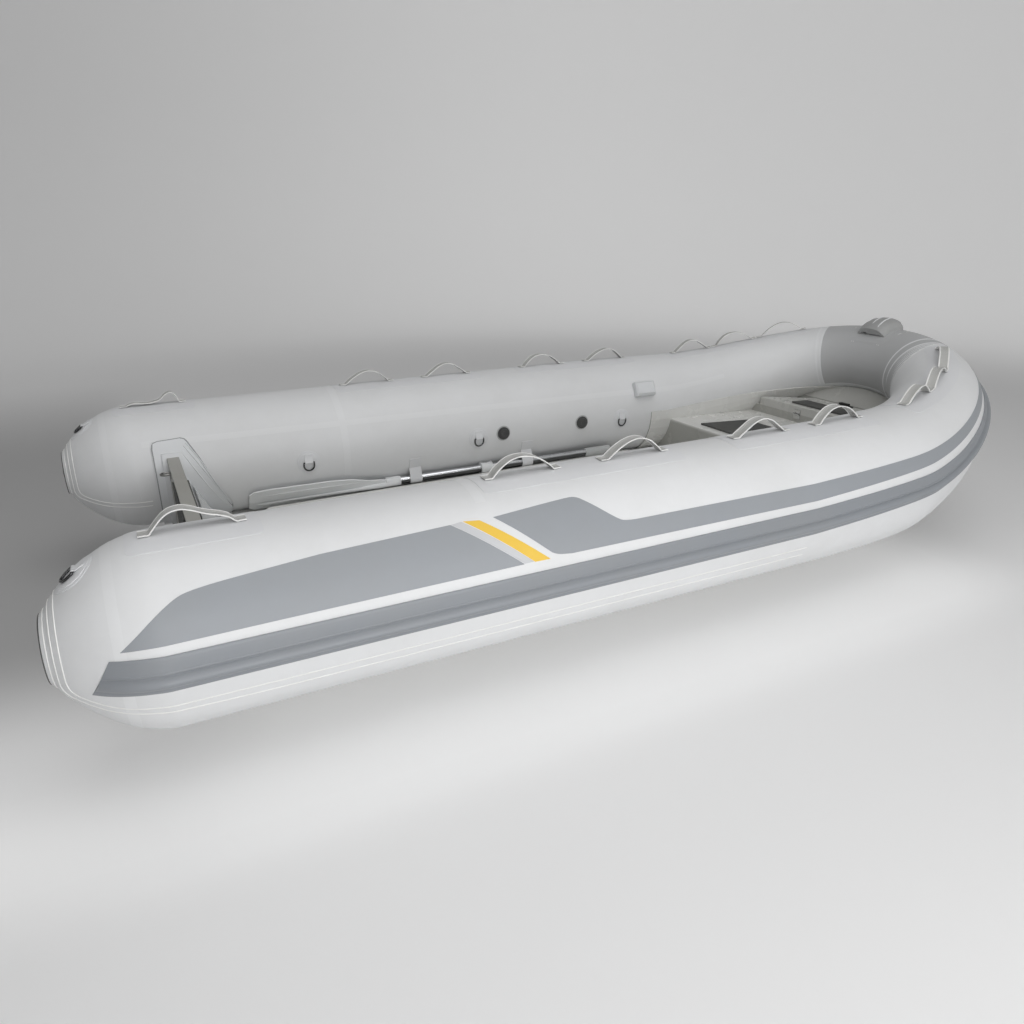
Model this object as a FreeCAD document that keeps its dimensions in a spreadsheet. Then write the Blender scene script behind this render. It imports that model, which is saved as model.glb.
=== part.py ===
import FreeCAD, Part
import math
import os
import Sketcher
from FreeCAD import Placement, Rotation, Vector

# Rigid inflatable boat, 3.85 m: a moulded V hull and deck liner inside one U-shaped air tube.
# X points to the bow, Y to port, Z up. Stations are measured from the aft tips of the end caps.
# The origin is on the floor under the middle of the overall length.

DIMENSIONS = (
    ("overall_length", 3850, "aft tips of the end caps to the front of the rub strake"),
    ("tube_radius", 245, "air tube along the sides"),
    ("tube_offset", 761, "centre plane to the tube's centreline"),
    ("tube_height", 425, "floor to the tube's centreline along the sides"),
    ("bow_curve", 1637, "front of the boat back to where the side tubes begin to curve in"),
    ("bow_radius", 160, "air tube at the bow"),
    ("taper_back", 1052, "front of the boat back to where the tube begins to taper"),
    ("sheer_back", 1144, "front of the boat back to where the tube begins to rise"),
    ("sheer_rise", 251, "rise of the centreline at the bow"),
    ("sheer_power", 1.84, "shape of the rise"),
    ("bow_fullness", 2.72, "exponent of the bow curve along the boat"),
    ("bow_roundness", 2.26, "exponent of the bow curve across the boat"),
    ("bow_sections", 16, "circles that one side of the bow tube is lofted through"),
    ("curve_start", "=overall_length - bow_curve", "station where the side tubes begin to curve in"),
    ("taper_start", "=overall_length - taper_back", "station where the tube begins to taper to the bow"),
    ("sheer_start", "=overall_length - sheer_back", "station where the tube begins to rise"),
    ("cone_start", 14, "station of the small end of the stern cone"),
    ("cone_length", 251, "stern cone with its rounded shoulder"),
    ("cone_end", "=cone_start + cone_length", "station where the shoulder meets the side tube"),
    ("cone_rise", 9, "small end of the cone above the tube's centreline"),
    ("cap_radius", 80, "small end of the stern cone"),
    ("cap_flange", 3, "thickness of the end cap's flange"),
    ("cap_dome", 4, "dome of the end cap above its flange"),
    ("strake_proud", 20, "rub strake's ridge above the tube"),
    ("strake_top", 11.2, "upper edge, degrees above the tube's widest line"),
    ("strake_bottom", -5.9, "lower edge, in the same degrees"),
    ("strake_top_turn", 11.9, "how far the upper edge climbs round to the bow"),
    ("strake_bottom_turn", 16.5, "how far the lower edge climbs round to the bow"),
    ("strake_start", 104, "station of the strake's aft tips, at their lower edge"),
    ("strake_slant", 48, "how far forward the upper edge of the tip lies"),
    ("strake_droop", 9.5, "how far the strake has dropped at its aft tips, in the same degrees"),
    ("strake_tip_low", 40, "tube's centreline down to the tip's lower corner"),
    ("strake_tip_high", 44, "tube's centreline up to the tip's upper corner"),
    ("strake_fade", 110, "length over which the ridge rises from the tip"),
    ("strake_edge", 4, "thickness of the strake's two edges"),
    ("skin_gap", 0.4, "fit between the tube and what is moulded round it"),
    ("keel_width", 110, "flat of the keel"),
    ("guard_thickness", 12, "wear guard under the keel"),
    ("keel_back", 990, "front of the boat back to where the keel begins to rise"),
    ("keel_straight_end", "=overall_length - keel_back", "station where the keel begins to rise"),
    ("stem_back", 220, "front of the boat back to the top of the stem"),
    ("stem_station", "=overall_length - stem_back", "station of the top of the stem"),
    ("stem_rise", 90, "top of the stem above the tube's centreline along the sides"),
    ("stem_height", "=tube_height + stem_rise", "top of the stem above the keel line"),
    ("chine_angle", 17, "hull's edge under the tube, degrees inboard of its lowest line"),
    ("chine_edge", 10, "thickness of the hull's edge under the tube"),
    ("hull_sections", 12, "sections that the forefoot is lofted through"),
    ("deck_drop", 225, "tube's centreline down to the cockpit sole"),
    ("deck_height", "=tube_height - deck_drop", "floor to the cockpit sole"),
    ("deck_bite", 71, "how far the sole and the transom reach under the tubes' centreline"),
    ("sole_thickness", 9, "deck moulding"),
    ("liner_thickness", 6, "liner's flange up the inside of the tubes"),
    ("liner_lead", 70, "how far the liner's flange starts aft of the mid step"),
    ("liner_top_angle", 179, "upper edge of the liner's flange at its lead, degrees"),
    ("liner_top_climb", 60, "how far that edge has climbed at the bow, degrees"),
    ("liner_foot_angle", 244, "foot of the liner's flange, degrees"),
    ("step_back", 1075, "front of the boat back to the mid step's aft face"),
    ("step_start", "=overall_length - step_back", "station of the mid step's aft face"),
    ("step_drop", 43, "tube's centreline down to the top of the mid step"),
    ("step_height", "=tube_height - step_drop", "floor to the top of the mid step"),
    ("step_edge", 14, "round of the mid step's aft edge"),
    ("locker_back", 568, "front of the boat back to the bow locker's aft face"),
    ("locker_start", "=overall_length - locker_back", "station of the bow locker's aft face"),
    ("lid_length", 218, "bow locker's lid along the boat"),
    ("locker_end", "=locker_start + lid_length", "station of the front of the locker's lid"),
    ("locker_rise", 83, "mid step up to the top of the bow locker's lid"),
    ("locker_height", "=step_height + locker_rise", "floor to the top of the bow locker's lid"),
    ("well_length", 150, "inside of the locker along the boat"),
    ("well_width", 300, "inside of the locker across the boat"),
    ("well_depth", 143, "top of the lid down to the inside floor of the locker"),
    ("well_floor", "=locker_height - well_depth", "floor to the inside floor of the locker"),
    ("well_wall", 20, "wall between the locker's aft face and its inside"),
    ("lid_skirt", 43, "depth of the lid's aft skirt"),
    ("lid_thickness", 8, "wall of the lid"),
    ("lid_edge", 7, "round of the lid's upper edges"),
    ("lid_gap", 7, "lid to the liner round it"),
    ("lid_rest", 0.5, "clearance under the lid's skirt"),
    ("lid_front_width", 440, "lid's width at its front edge"),
    ("hinge_pin", 6, "diameter of a hinge's pin"),
    ("pin_play", 0.25, "clearance between a hinge's pin and the knuckles that turn on it"),
    ("hinge_knuckle", 11, "diameter of a hinge's knuckles"),
    ("hinge_width", 42, "hinge across the boat"),
    ("hinge_leaf", 24, "height of one leaf beyond the pin"),
    ("hinge_plate", 2.5, "thickness of a leaf"),
    ("hinge_web", 8, "height of the web between a knuckle and its leaf"),
    ("hinge_offset", 125, "centre plane to a hinge's middle"),
    ("hinge_play", 0.3, "clearance between the hinge's pieces and behind its leaves"),
    ("pad_thickness", 8, "non-slip pads"),
    ("pad_lead", 55, "mid step's aft face to its pad"),
    ("pad_length", 252, "mid step's pad along the boat"),
    ("pad_aft_half", 314, "half width of the mid step's pad at its aft edge"),
    ("pad_fore_half", 260, "half width of the mid step's pad at its front edge"),
    ("lid_pad_lead", 24, "lid's aft edge to its pad"),
    ("lid_pad_length", 88, "lid's pad along the boat"),
    ("lid_pad_half", 190, "half width of the lid's pad at its aft edge"),
    ("latch_lead", 60, "lid's front edge back to its latch"),
    ("latch_length", 44, "latch along the boat"),
    ("latch_half", 38, "half width of the latch"),
    ("latch_plate", 6, "latch plate"),
    ("latch_grip", 12, "latch grip above its plate"),
    ("transom_station", 380, "station of the transom's aft face"),
    ("transom_thickness", 43, "transom board"),
    ("transom_rise", 82, "tube's centreline up to the top of the transom"),
    ("transom_height", "=tube_height + transom_rise", "floor to the top of the transom"),
    ("holder_thickness", 8, "moulded holder between the tube and the transom"),
    ("holder_start", 334, "station of the holder's aft edge"),
    ("holder_top_length", 121, "holder's upper edge along the boat"),
    ("holder_foot_length", 266, "holder's foot along the boat"),
    ("holder_rise", 128, "tube's centreline up to the holder's aft upper corner"),
    ("holder_rake", 13, "how much higher the holder's front upper corner is"),
    ("holder_toe", 185, "tube's centreline down to the holder's front lower corner"),
    ("socket_lip", 16, "holder's socket round the transom's end, along the boat"),
    ("socket_proud", 12, "holder's socket above the holder"),
    ("knee_inboard", 277, "tube's centreline to the knee's inboard face"),
    ("knee_top", 0, "knee's upper corner from the tube's centreline, upwards"),
    ("knee_length", 122, "knee's foot forward of the transom"),
    ("knee_slot", 8, "slot in the knee"),
    ("eye_offset", 380, "centre plane to the eyes on the transom"),
    ("eye_drop", 24, "transom's top down to the eyes"),
    ("eye_reach", 34, "eyes aft of the transom"),
    ("eye_wire", 8, "wire of the eyes"),
    ("eye_plate", 4, "base plates of the eyes"),
    ("engine_pad_width", 420, "engine clamp pads across the boat"),
    ("engine_pad_depth", 240, "engine clamp pads below the transom's top"),
    ("engine_pad_thickness", 6, "engine clamp pads"),
    ("engine_pad_inset", 8, "transom's top down to the engine clamp pads"),
    ("loop_width", 40, "webbing of the grab loops"),
    ("loop_thickness", 4, "webbing of the grab loops"),
    ("loop_rise", 62, "crown of a loop above the tube"),
    ("loop_span", 197, "between the feet of a loop"),
    ("loop_foot", 24, "flat foot of the webbing at each end of a loop"),
    ("loop_aft", 372, "station of the aft loop's middle"),
    ("loop_pair_share", 0.72, "middle pair of loops, as a share of the straight side"),
    ("loop_pair_back", 140, "how far the middle pair of loops lies aft of its share of the side"),
    ("loop_pair_half", 193, "half the distance between the middle pair of loops"),
    ("loop_fourth", 54, "fourth loop's middle aft of where the tubes curve in"),
    ("loop_fifth", 313, "fifth loop's middle forward of there"),
    ("bow_loop_first", 1003, "along the tube from the bow to the first bow loop's middle"),
    ("bow_loop_second", 748, "from the bow to the second"),
    ("bow_loop_third", 498, "from the bow to the third"),
    ("patch_thickness", 2, "patches glued to the tube"),
    ("patch_margin", 55, "patch beyond the loops it carries"),
    ("patch_half_angle", 19.5, "half width of the patches under the loops, degrees"),
    ("handle_angle", 96, "bow handle, degrees above the tube's outboard line"),
    ("handle_width", 200, "bow handle across the boat"),
    ("handle_height", 52, "bow handle above its base"),
    ("handle_depth", 46, "bow handle along the boat"),
    ("handle_patch_half", 160, "half width of the patch under the bow handle"),
    ("handle_patch_low", 62, "outboard edge of that patch, in the same degrees"),
    ("handle_patch_high", 146, "inboard edge of that patch"),
    ("ring_wire", 6, "wire of the D-rings"),
    ("ring_width", 48, "inside width of the D-rings"),
    ("ring_patch", 46, "radius of the D-rings' patches"),
    ("ring_angle", 183, "D-rings on the tube's inner face, degrees"),
    ("ring_first_share", 0.411, "first D-ring, as a share of the straight side"),
    ("ring_second_share", 0.766, "second D-ring, likewise"),
    ("ring_third", 282, "third D-ring forward of where the tubes curve in"),
    ("stern_ring_station", 107, "station of the towing rings"),
    ("stern_ring_angle", 85, "towing rings, degrees above the outboard line"),
    ("valve_radius", 32, "valve caps"),
    ("valve_height", 9, "valve caps"),
    ("valve_angle", 181, "valves on the tube's inner face, degrees"),
    ("valve_aft_share", 0.825, "aft valve, as a share of the straight side"),
    ("valve_fore", 41, "front valve forward of where the tubes curve in"),
    ("mount_fore", 427, "seat block forward of where the tubes curve in"),
    ("mount_angle", 152, "seat block, degrees above the outboard line"),
    ("mount_length", 108, "seat block along the tube"),
    ("mount_width", 72, "seat block round the tube"),
    ("mount_height", 38, "seat block above the tube"),
    ("oar_tip", 665, "station of the oar's blade tip"),
    ("oar_clear", 348, "oar's grip end to the mid step"),
    ("oar_end", "=step_start - oar_clear", "station of the oar's grip end"),
    ("oar_radius", 17.5, "oar's shaft"),
    ("oar_offset", 562, "centre plane to the oar's blade tip"),
    ("oar_drop", 166, "tube's centreline down to the oar's shaft"),
    ("oar_height", "=tube_height - oar_drop", "floor to the oar's shaft"),
    ("oar_tilt", 1.15, "degrees that the oar's grip turns in towards the centre plane"),
    ("blade_length", 430, "wide part of the oar's blade"),
    ("blade_neck", 225, "oar's blade from its wide part to its socket"),
    ("blade_width", 140, "oar's blade"),
    ("blade_thickness", 5, "oar's blade"),
    ("blade_camber", 7, "how far the blade's edges bend back from its ridge"),
    ("socket_radius", 22, "socket of the blade round the shaft's end"),
    ("grip_length", 145, "oar's grip"),
    ("grip_radius", 21.5, "oar's grip"),
    ("collar_length", 57, "oar's collar, which a pin holds to the rowing socket"),
    ("collar_radius", 24, "oar's collar"),
    ("collar_share", 0.44, "collar's place along the bare shaft"),
    ("strap_width", 56, "straps that hold the oar"),
    ("strap_thickness", 3, "straps that hold the oar"),
    ("strap_share", 0.661, "fore strap's place along the bare shaft"),
    ("strap_lead", 44, "blade's socket to the aft strap"),
    ("drain_radius", 14, "drain hole in the transom"),
    ("drain_rise", 6, "cockpit sole to the drain hole"),
)

# Shares of the stern cone's length and of its growth in radius, from the small end
CONE_PROFILE = ((0, 0), (0.064, 0.103), (0.1235, 0.236), (0.243, 0.43), (0.3665, 0.594),
                (0.502, 0.745), (0.649, 0.867), (0.805, 0.952), (1, 1))

# Where a strap's tails lie on the tube, degrees either side of the shaft
STRAP_TAIL = (22, 18, 14, 11)

doc = FreeCAD.newDocument("inflatable_boat")
dims = doc.addObject("Spreadsheet::Sheet", "Dims")
for row, (name, number, meaning) in enumerate(DIMENSIONS, start=1):
    dims.set(f"A{row}", meaning)
    dims.set(f"B{row}", str(number))
    dims.setAlias(f"B{row}", name)
doc.recompute()

size = {name: float(dims.get(name)) for name, number, meaning in DIMENSIONS}
half_length = size["overall_length"] / 2
ridge_share = 0.34
ridge_low = size["strake_bottom"] + size["strake_bottom_turn"]
ridge_high = size["strake_top"] + size["strake_top_turn"]
ridge_angle = math.radians(ridge_low + (ridge_high - ridge_low) * ridge_share)
bow_station = size["overall_length"] - (size["bow_radius"] + size["strake_proud"]) * math.cos(ridge_angle)
bow_reach = bow_station - size["curve_start"]
parts = []


# Working helpers

def at(station):
    """A station as a distance along X."""
    return station - half_length


def keep(obj, label):
    """Marks a finished sub-part."""
    obj.Label = label
    parts.append(obj)
    return obj


def feature(label, shape):
    """A sub-part whose shape no ready feature makes."""
    obj = doc.addObject("Part::Feature", label)
    obj.Shape = shape
    return keep(obj, label)


def starboard(source, label):
    """The same sub-part mirrored in the centre plane."""
    obj = doc.addObject("Part::Mirroring", label)
    obj.Source = source
    obj.Base = Vector(0, 0, 0)
    obj.Normal = Vector(0, 1, 0)
    return keep(obj, label)


def bind(obj, **formulas):
    """Ties properties to the sheet; X, Y and Z are the placement's."""
    for name, formula in formulas.items():
        if name in ("X", "Y", "Z"):
            name = f"Placement.Base.{name.lower()}"
        obj.setExpression(name, formula)
    return obj


def box_between(low, high):
    return Part.makeBox(*(b - a for a, b in zip(low, high)), Vector(*low))


def both_sides(shape):
    return [shape, shape.mirror(Vector(0, 0, 0), Vector(0, 1, 0))]


def fused(shapes):
    first = shapes[0].multiFuse(shapes[1:]) if len(shapes) > 1 else shapes[0]
    return first.removeSplitter()


def closed_face(points):
    return Part.Face(Part.makePolygon(points + points[:1]))


# The tube's centreline, as a function of the distance along it from station zero

def centre_at(phase):
    """Point of the bow curve on the port side: phase 0 at its start, 1 at the bow."""
    turn = phase * math.pi / 2
    x = size["curve_start"] + bow_reach * math.sin(turn) ** (2 / size["bow_fullness"])
    y = size["tube_offset"] * max(math.cos(turn), 0) ** (2 / size["bow_roundness"])
    past = max(0, x - size["sheer_start"]) / (bow_station - size["sheer_start"])
    z = size["tube_height"] + size["sheer_rise"] * past ** size["sheer_power"]
    return Vector(at(x), y, z)


STEPS = 1500
curve_points = [centre_at((i / STEPS) ** 1.4) for i in range(STEPS + 1)]
curve_run = [size["curve_start"]]
for before, after in zip(curve_points, curve_points[1:]):
    curve_run.append(curve_run[-1] + (after - before).Length)
bow_run = curve_run[-1]


def cone_share(run):
    """0 at the small end of the stern cone, 1 from its shoulder on."""
    return min(max((run - size["cone_start"]) / size["cone_length"], 0), 1)


def centre(run):
    """Centre of the tube on the port side at a distance along its centreline."""
    if run <= size["curve_start"]:
        rise = size["cone_rise"] * (1 - cone_share(run))
        return Vector(at(run), size["tube_offset"], size["tube_height"] + rise)
    if run > bow_run:
        point = centre(2 * bow_run - run)
        return Vector(point.x, -point.y, point.z)
    low, high = 0, STEPS
    while high - low > 1:
        middle = (low + high) // 2
        low, high = (middle, high) if curve_run[middle] <= run else (low, middle)
    share = (run - curve_run[low]) / (curve_run[high] - curve_run[low])
    return curve_points[low] + (curve_points[high] - curve_points[low]) * share


def radius(run):
    """Radius of the tube there: the stern cone, the side, then the taper to the bow."""
    if run < size["cone_end"]:
        past = cone_share(run)
        for (a, grown_a), (b, grown_b) in zip(CONE_PROFILE, CONE_PROFILE[1:]):
            if past <= b:
                grown = grown_a + (grown_b - grown_a) * (past - a) / (b - a)
                return size["cap_radius"] + (size["tube_radius"] - size["cap_radius"]) * grown
    station = centre(run).x + half_length
    share = max(0, station - size["taper_start"]) / (bow_station - size["taper_start"])
    return size["tube_radius"] + (size["bow_radius"] - size["tube_radius"]) * share


def frame(run):
    """Placement on the centreline: X outboard, Y up, Z along the tube."""
    along = Vector(1, 0, 0)
    if run > size["curve_start"]:
        along = centre(run + 3) - centre(run - 3)
    if run >= 2 * bow_run - size["curve_start"]:
        along.y = 0
    along.normalize()
    outboard = Vector(-along.y, along.x, 0)
    outboard.normalize()
    return Placement(centre(run), Rotation(outboard, along.cross(outboard), along, "ZXY"))


def on_tube(run, angle, height=0):
    """Point on the tube, degrees above its outboard line, at a height off its skin."""
    reach = radius(run) + height
    turn = math.radians(angle)
    return frame(run).multVec(Vector(reach * math.cos(turn), reach * math.sin(turn), 0))


def stud(run, angle, lift=0):
    """Placement on the tube with Z square to its skin and X along it."""
    spot = on_tube(run, angle)
    along = on_tube(run + 1, angle) - on_tube(run - 1, angle)
    along.normalize()
    away = along.cross(on_tube(run, angle + 0.3) - on_tube(run, angle - 0.3))
    away.normalize()
    away = away if away.dot(spot - centre(run)) > 0 else -away
    return Placement(spot + away * lift, Rotation(along, away.cross(along), away, "ZXY"))


def seat(run, low, high, pieces, gap):
    """Points from one angle to another whose chords lie just clear of the tube's skin."""
    step = (high - low) / pieces
    height = (radius(run) + gap) / math.cos(math.radians(step / 2)) - radius(run)
    return [on_tube(run, low + step * i, height) for i in range(pieces + 1)]


def glued(runs, low, high, thick, pieces=8):
    """Sheet on the tube's skin from one angle to another, through the sections at these runs."""
    sections = []
    for run in runs:
        ring = seat(run, low, high, pieces, thick + size["skin_gap"] / 2)
        ring = ring + seat(run, high, low, pieces, size["skin_gap"] / 2)
        sections.append(Part.makePolygon(ring + ring[:1]))
    return Part.makeLoft(sections, True, True)


def round_section(run, extra=0):
    wire = Part.Wire(Part.makeCircle(radius(run) + extra))
    wire.Placement = frame(run)
    return wire


def cone_stations():
    return [size["cone_start"] + size["cone_length"] * share for share, grown in CONE_PROFILE]


def curve_stations():
    count = int(size["bow_sections"])
    half = [size["curve_start"] + (bow_run - size["curve_start"]) * i / count for i in range(count + 1)]
    return half + [2 * bow_run - run for run in reversed(half[:-1])]


def seams_round(start, end):
    """Seams of the tube that enclose a stretch of it, or its own ends where the tube is straight."""
    seams = cone_stations() + curve_stations()
    straight = (size["cone_end"], size["curve_start"])
    first = start if straight[0] <= start <= straight[1] else max(run for run in seams if run <= start)
    last = end if straight[0] <= end <= straight[1] else min(run for run in seams if run >= end)
    return [first] + [run for run in seams if first + 1 < run < last - 1] + [last]


def round_patch(run, angle, reach, thick):
    """Disc that lies on the tube's skin."""
    turn = math.degrees(reach / radius(run)) * 1.1
    sheet = glued(seams_round(run - reach, run + reach), angle - turn, angle + turn, thick)
    punch = Part.makeCylinder(reach, 6 * reach, Vector(0, 0, -3 * reach))
    punch.Placement = stud(run, angle).multiply(punch.Placement)
    return sheet.common(punch)


def tube_body(extra=0, start=None):
    """The whole tube as three solids, thicker by extra: port side, bow, starboard side."""
    start = size["cone_end"] if start is None else start
    side = Part.makeCylinder(size["tube_radius"] + extra, size["curve_start"] - start,
                             Vector(at(start), size["tube_offset"], size["tube_height"]), Vector(1, 0, 0))
    bow = Part.makeLoft([round_section(run, extra) for run in curve_stations()], True, True)
    return [both_sides(side)[0], bow, both_sides(side)[1]]


# Air tube

def tube_side():
    tube = doc.addObject("Part::Cylinder", "tube_port")
    tube.Placement = Placement(Vector(0, 0, 0), Rotation(Vector(0, 1, 0), 90))
    bind(tube, Radius="Dims.tube_radius", Height="Dims.curve_start - Dims.cone_end",
         X="Dims.cone_end - Dims.overall_length / 2", Y="Dims.tube_offset", Z="Dims.tube_height")
    return keep(tube, "tube_port")


def stern_cone():
    """Cone with a rounded shoulder, in gores as the real one is glued up."""
    return Part.makeLoft([round_section(run) for run in cone_stations()], True, True)


def end_cap():
    """Low dome with a boss that closes the small end of the cone."""
    body = doc.addObject("PartDesign::Body", "end_cap_port")
    sketch = body.newObject("Sketcher::SketchObject", "end_cap_profile")
    plane = [f for f in body.Origin.OriginFeatures if f.Role == "XZ_Plane"][0]
    sketch.AttachmentSupport = (plane, [""])
    sketch.MapMode = "FlatFace"
    top = "-(Dims.cap_flange + Dims.cap_dome)"
    outline(sketch, (("0", "0"), ("0", "Dims.cap_radius"), ("-Dims.cap_flange", "Dims.cap_radius"),
                     ("-Dims.cap_flange", "Dims.cap_radius * 0.8"), (top, "Dims.cap_radius * 0.5"),
                     (top, "Dims.cap_radius * 0.25"), ("-Dims.cone_start", "Dims.cap_radius * 0.2"),
                     ("-Dims.cone_start", "0")))
    turn = body.newObject("PartDesign::Revolution", "end_cap_turned")
    turn.Profile = sketch
    turn.ReferenceAxis = (sketch, ["H_Axis"])
    turn.Angle = 360
    bind(body, X="Dims.cone_start - Dims.overall_length / 2", Y="Dims.tube_offset",
         Z="Dims.tube_height + Dims.cone_rise")
    return keep(body, "end_cap_port")


def outline(sketch, corners):
    """Closed outline in a sketch, each corner a pair of formulas of the sheet."""
    spots = [tuple(float(dims.evalExpression(text)) for text in pair) for pair in corners]
    for i, spot in enumerate(spots):
        after = spots[(i + 1) % len(spots)]
        sketch.addGeometry(Part.LineSegment(Vector(*spot, 0), Vector(*after, 0)))
    for i, pair in enumerate(corners):
        sketch.addConstraint(Sketcher.Constraint("Coincident", i, 2, (i + 1) % len(spots), 1))
        for kind, text, value in (("DistanceX", pair[0], spots[i][0]), ("DistanceY", pair[1], spots[i][1])):
            if abs(value) < 1e-9:
                axis = -2 if kind == "DistanceX" else -1
                sketch.addConstraint(Sketcher.Constraint("PointOnObject", i, 1, axis))
                continue
            index = sketch.addConstraint(Sketcher.Constraint(kind, -1, 1, i, 1, value))
            sketch.setExpression(f"Constraints[{index}]", text)


# Rub strake: flat above, a rounded ridge below its middle

def strake_section(run):
    turned = max(0, centre(run).x + half_length - size["curve_start"]) / bow_reach
    bottom, width = size["strake_bottom"], size["strake_top"] - size["strake_bottom"]
    if run < size["cone_end"]:
        shrunk = (size["tube_radius"] - radius(run)) / (size["tube_radius"] - radius(size["strake_start"]))
        bottom = bottom - size["strake_droop"] * max(shrunk, 0) ** 1.6
        width = width * size["tube_radius"] / radius(run)
    top = bottom + width + size["strake_top_turn"] * turned
    bottom = bottom + size["strake_bottom_turn"] * turned
    edge = size["strake_edge"]
    full = min((run - size["strake_start"]) / size["strake_fade"], 1)
    proud = edge + (size["strake_proud"] - edge) * full
    places = ((0, edge), (0.12, 0.72 * proud), (0.22, 0.94 * proud), (ridge_share, proud),
              (0.44, 0.9 * proud), (0.56, 0.5 * proud), (0.9, 0.36 * proud), (1, edge))
    points = [on_tube(run, bottom + (top - bottom) * share, height) for share, height in places]
    points = points + seat(run, top, bottom, 3, size["skin_gap"])
    return Part.makePolygon(points + points[:1])


def strake_bow():
    return Part.makeLoft([strake_section(run) for run in curve_stations()], True, True)


def strake_side():
    """Side strake, which ends on the stern cone in a slanted tip."""
    start, end = size["strake_start"], size["curve_start"]
    runs = [start] + [run for run in cone_stations() if run > start + size["strake_edge"]]
    runs = runs + [start + size["strake_fade"], end]
    strip = Part.makeLoft([strake_section(run) for run in sorted(set(runs))], True, True)
    low = size["tube_height"] - size["strake_tip_low"]
    high = size["tube_height"] + size["strake_tip_high"]
    reach = high - low
    aft, lean = at(start) - 2 * reach, size["strake_slant"]
    corners = [Vector(aft, 0, low - reach), Vector(at(start) - lean, 0, low - reach),
               Vector(at(start) + 2 * lean, 0, high + reach), Vector(aft, 0, high + reach)]
    return strip.cut(closed_face(corners).extrude(Vector(0, 2 * size["tube_offset"], 0)))


# Hull

def keel_line(station):
    """Height of the keel's underside: level, then an arc up to the stem."""
    reach = size["stem_station"] - size["keel_straight_end"]
    past = max(0, station - size["keel_straight_end"])
    bend = (reach ** 2 + size["stem_height"] ** 2) / (2 * size["stem_height"])
    return size["guard_thickness"] + bend - math.sqrt(max(bend ** 2 - past ** 2, 0))


def chine_runs():
    count = int(size["hull_sections"])
    runs = [size["curve_start"] + (bow_run - size["curve_start"]) * i / count for i in range(count)]
    return runs + [bow_run - size["bow_radius"] / 4]


def under_bow(station):
    """Height that brings the hull up to the bow tube's underside on the centre plane."""
    back = (bow_station - station) / size["bow_radius"]
    if back > 0.75:
        return 0
    underside = centre(bow_run).z - size["bow_radius"] * math.sqrt(1 - back ** 2)
    return underside + size["bow_radius"] * (0.075 - 0.52 * back ** 2)


def hull_section(run):
    """Section across the boat where the hull's edge meets the tube at this run."""
    edge = on_tube(run, size["chine_angle"] - 90 - 2 * size["chine_angle"], 0)
    station = edge.x + half_length
    low = keel_line(station)
    half_keel = min(size["keel_width"] / 2, edge.y / 3)
    top = max(edge.z, size["deck_height"] - size["sole_thickness"], under_bow(station))
    foot = max(edge.z - size["chine_edge"], low + size["chine_edge"] / 3)
    points = [(half_keel, low), (edge.y, foot), (edge.y, top)]
    points = points + [(-y, z) for y, z in reversed(points)]
    corners = [Vector(edge.x, y, z) for y, z in points]
    return Part.makePolygon(corners + corners[:1])


def transom_fore():
    return size["transom_station"] + size["transom_thickness"]


def hull_body():
    start = transom_fore()
    sections = [hull_section(start)] + [hull_section(run) for run in chine_runs()]
    return Part.makeLoft(sections, True, True)


def cut_by_tube(shape, extra):
    for solid in tube_body(extra, start=0):
        shape = shape.cut(solid)
    return shape


def keel_guard():
    """Wear strip under the keel and up the stem, in the hull's own sections."""
    half = size["keel_width"] / 2
    spots = [(at(size["transom_station"]), size["guard_thickness"])]
    for run in chine_runs()[:-4]:
        wire = hull_section(run)
        spots.append((wire.Vertexes[0].X, min(corner.Z for corner in wire.Vertexes)))
    under = []
    for i, (x, z) in enumerate(spots):
        back, ahead = spots[max(i - 1, 0)], spots[min(i + 1, len(spots) - 1)]
        slope = math.atan2(ahead[1] - back[1], ahead[0] - back[0])
        down = size["guard_thickness"]
        under.append((x + down * math.sin(slope), max(z - down * math.cos(slope), 0)))
    corners = [Vector(x, -half, z) for x, z in spots + list(reversed(under))]
    return closed_face(corners).extrude(Vector(0, 2 * half, 0))


def eye_bolt(plate_length):
    """Bent wire on a base plate: the wire's loop stands along Z over the plate's X."""
    wire, reach = size["eye_wire"] / 2, size["eye_reach"]
    bend = reach / 2.4
    plate = box_between((-plate_length / 2, -bend, 0), (plate_length / 2, bend, size["eye_plate"]))
    legs = [Part.makeCylinder(wire, reach - bend, Vector(x, 0, 0)) for x in (-bend, bend)]
    top = box_between((-reach, -reach, reach - bend), (reach, reach, 2 * reach))
    arch = Part.makeTorus(bend, wire, Vector(0, 0, reach - bend), Vector(0, 1, 0)).common(top)
    return fused([plate, *legs, arch])


def bow_eye():
    """Towing eye on the stem, on the flat between two of the hull's sections."""
    lower, upper = [hull_section(run).Vertexes for run in chine_runs()[-4:-2]]
    low = Vector(lower[0].X, 0, min(corner.Z for corner in lower))
    high = Vector(upper[0].X, 0, min(corner.Z for corner in upper))
    along = high - low
    along.normalize()
    away = along.cross(Vector(0, -1, 0))
    away = away if away.x > 0 else -away
    eye = eye_bolt(size["keel_width"] / 2)
    spot = low + (high - low) * 0.6 + away * size["skin_gap"]
    eye.Placement = Placement(spot, Rotation(along, away.cross(along), away, "ZXY"))
    return eye


# Deck liner: cockpit sole, mid step, bow locker and the flange up the inside of the tubes

def tube_inside(station, height):
    """Half width of the cockpit between the tubes there."""
    runs = [run for run in [size["cone_end"], station] + curve_stations() if run <= bow_run]
    spots = [(centre(run + part), radius(run + part)) for run in runs for part in (0, 40, 80)]
    low, high = 0, size["tube_offset"]
    for _ in range(20):
        middle = (low + high) / 2
        point = Vector(at(station), middle, height)
        clear = all((point - spot).Length > reach for spot, reach in spots)
        low, high = (middle, high) if clear else (low, middle)
    return low


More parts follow.
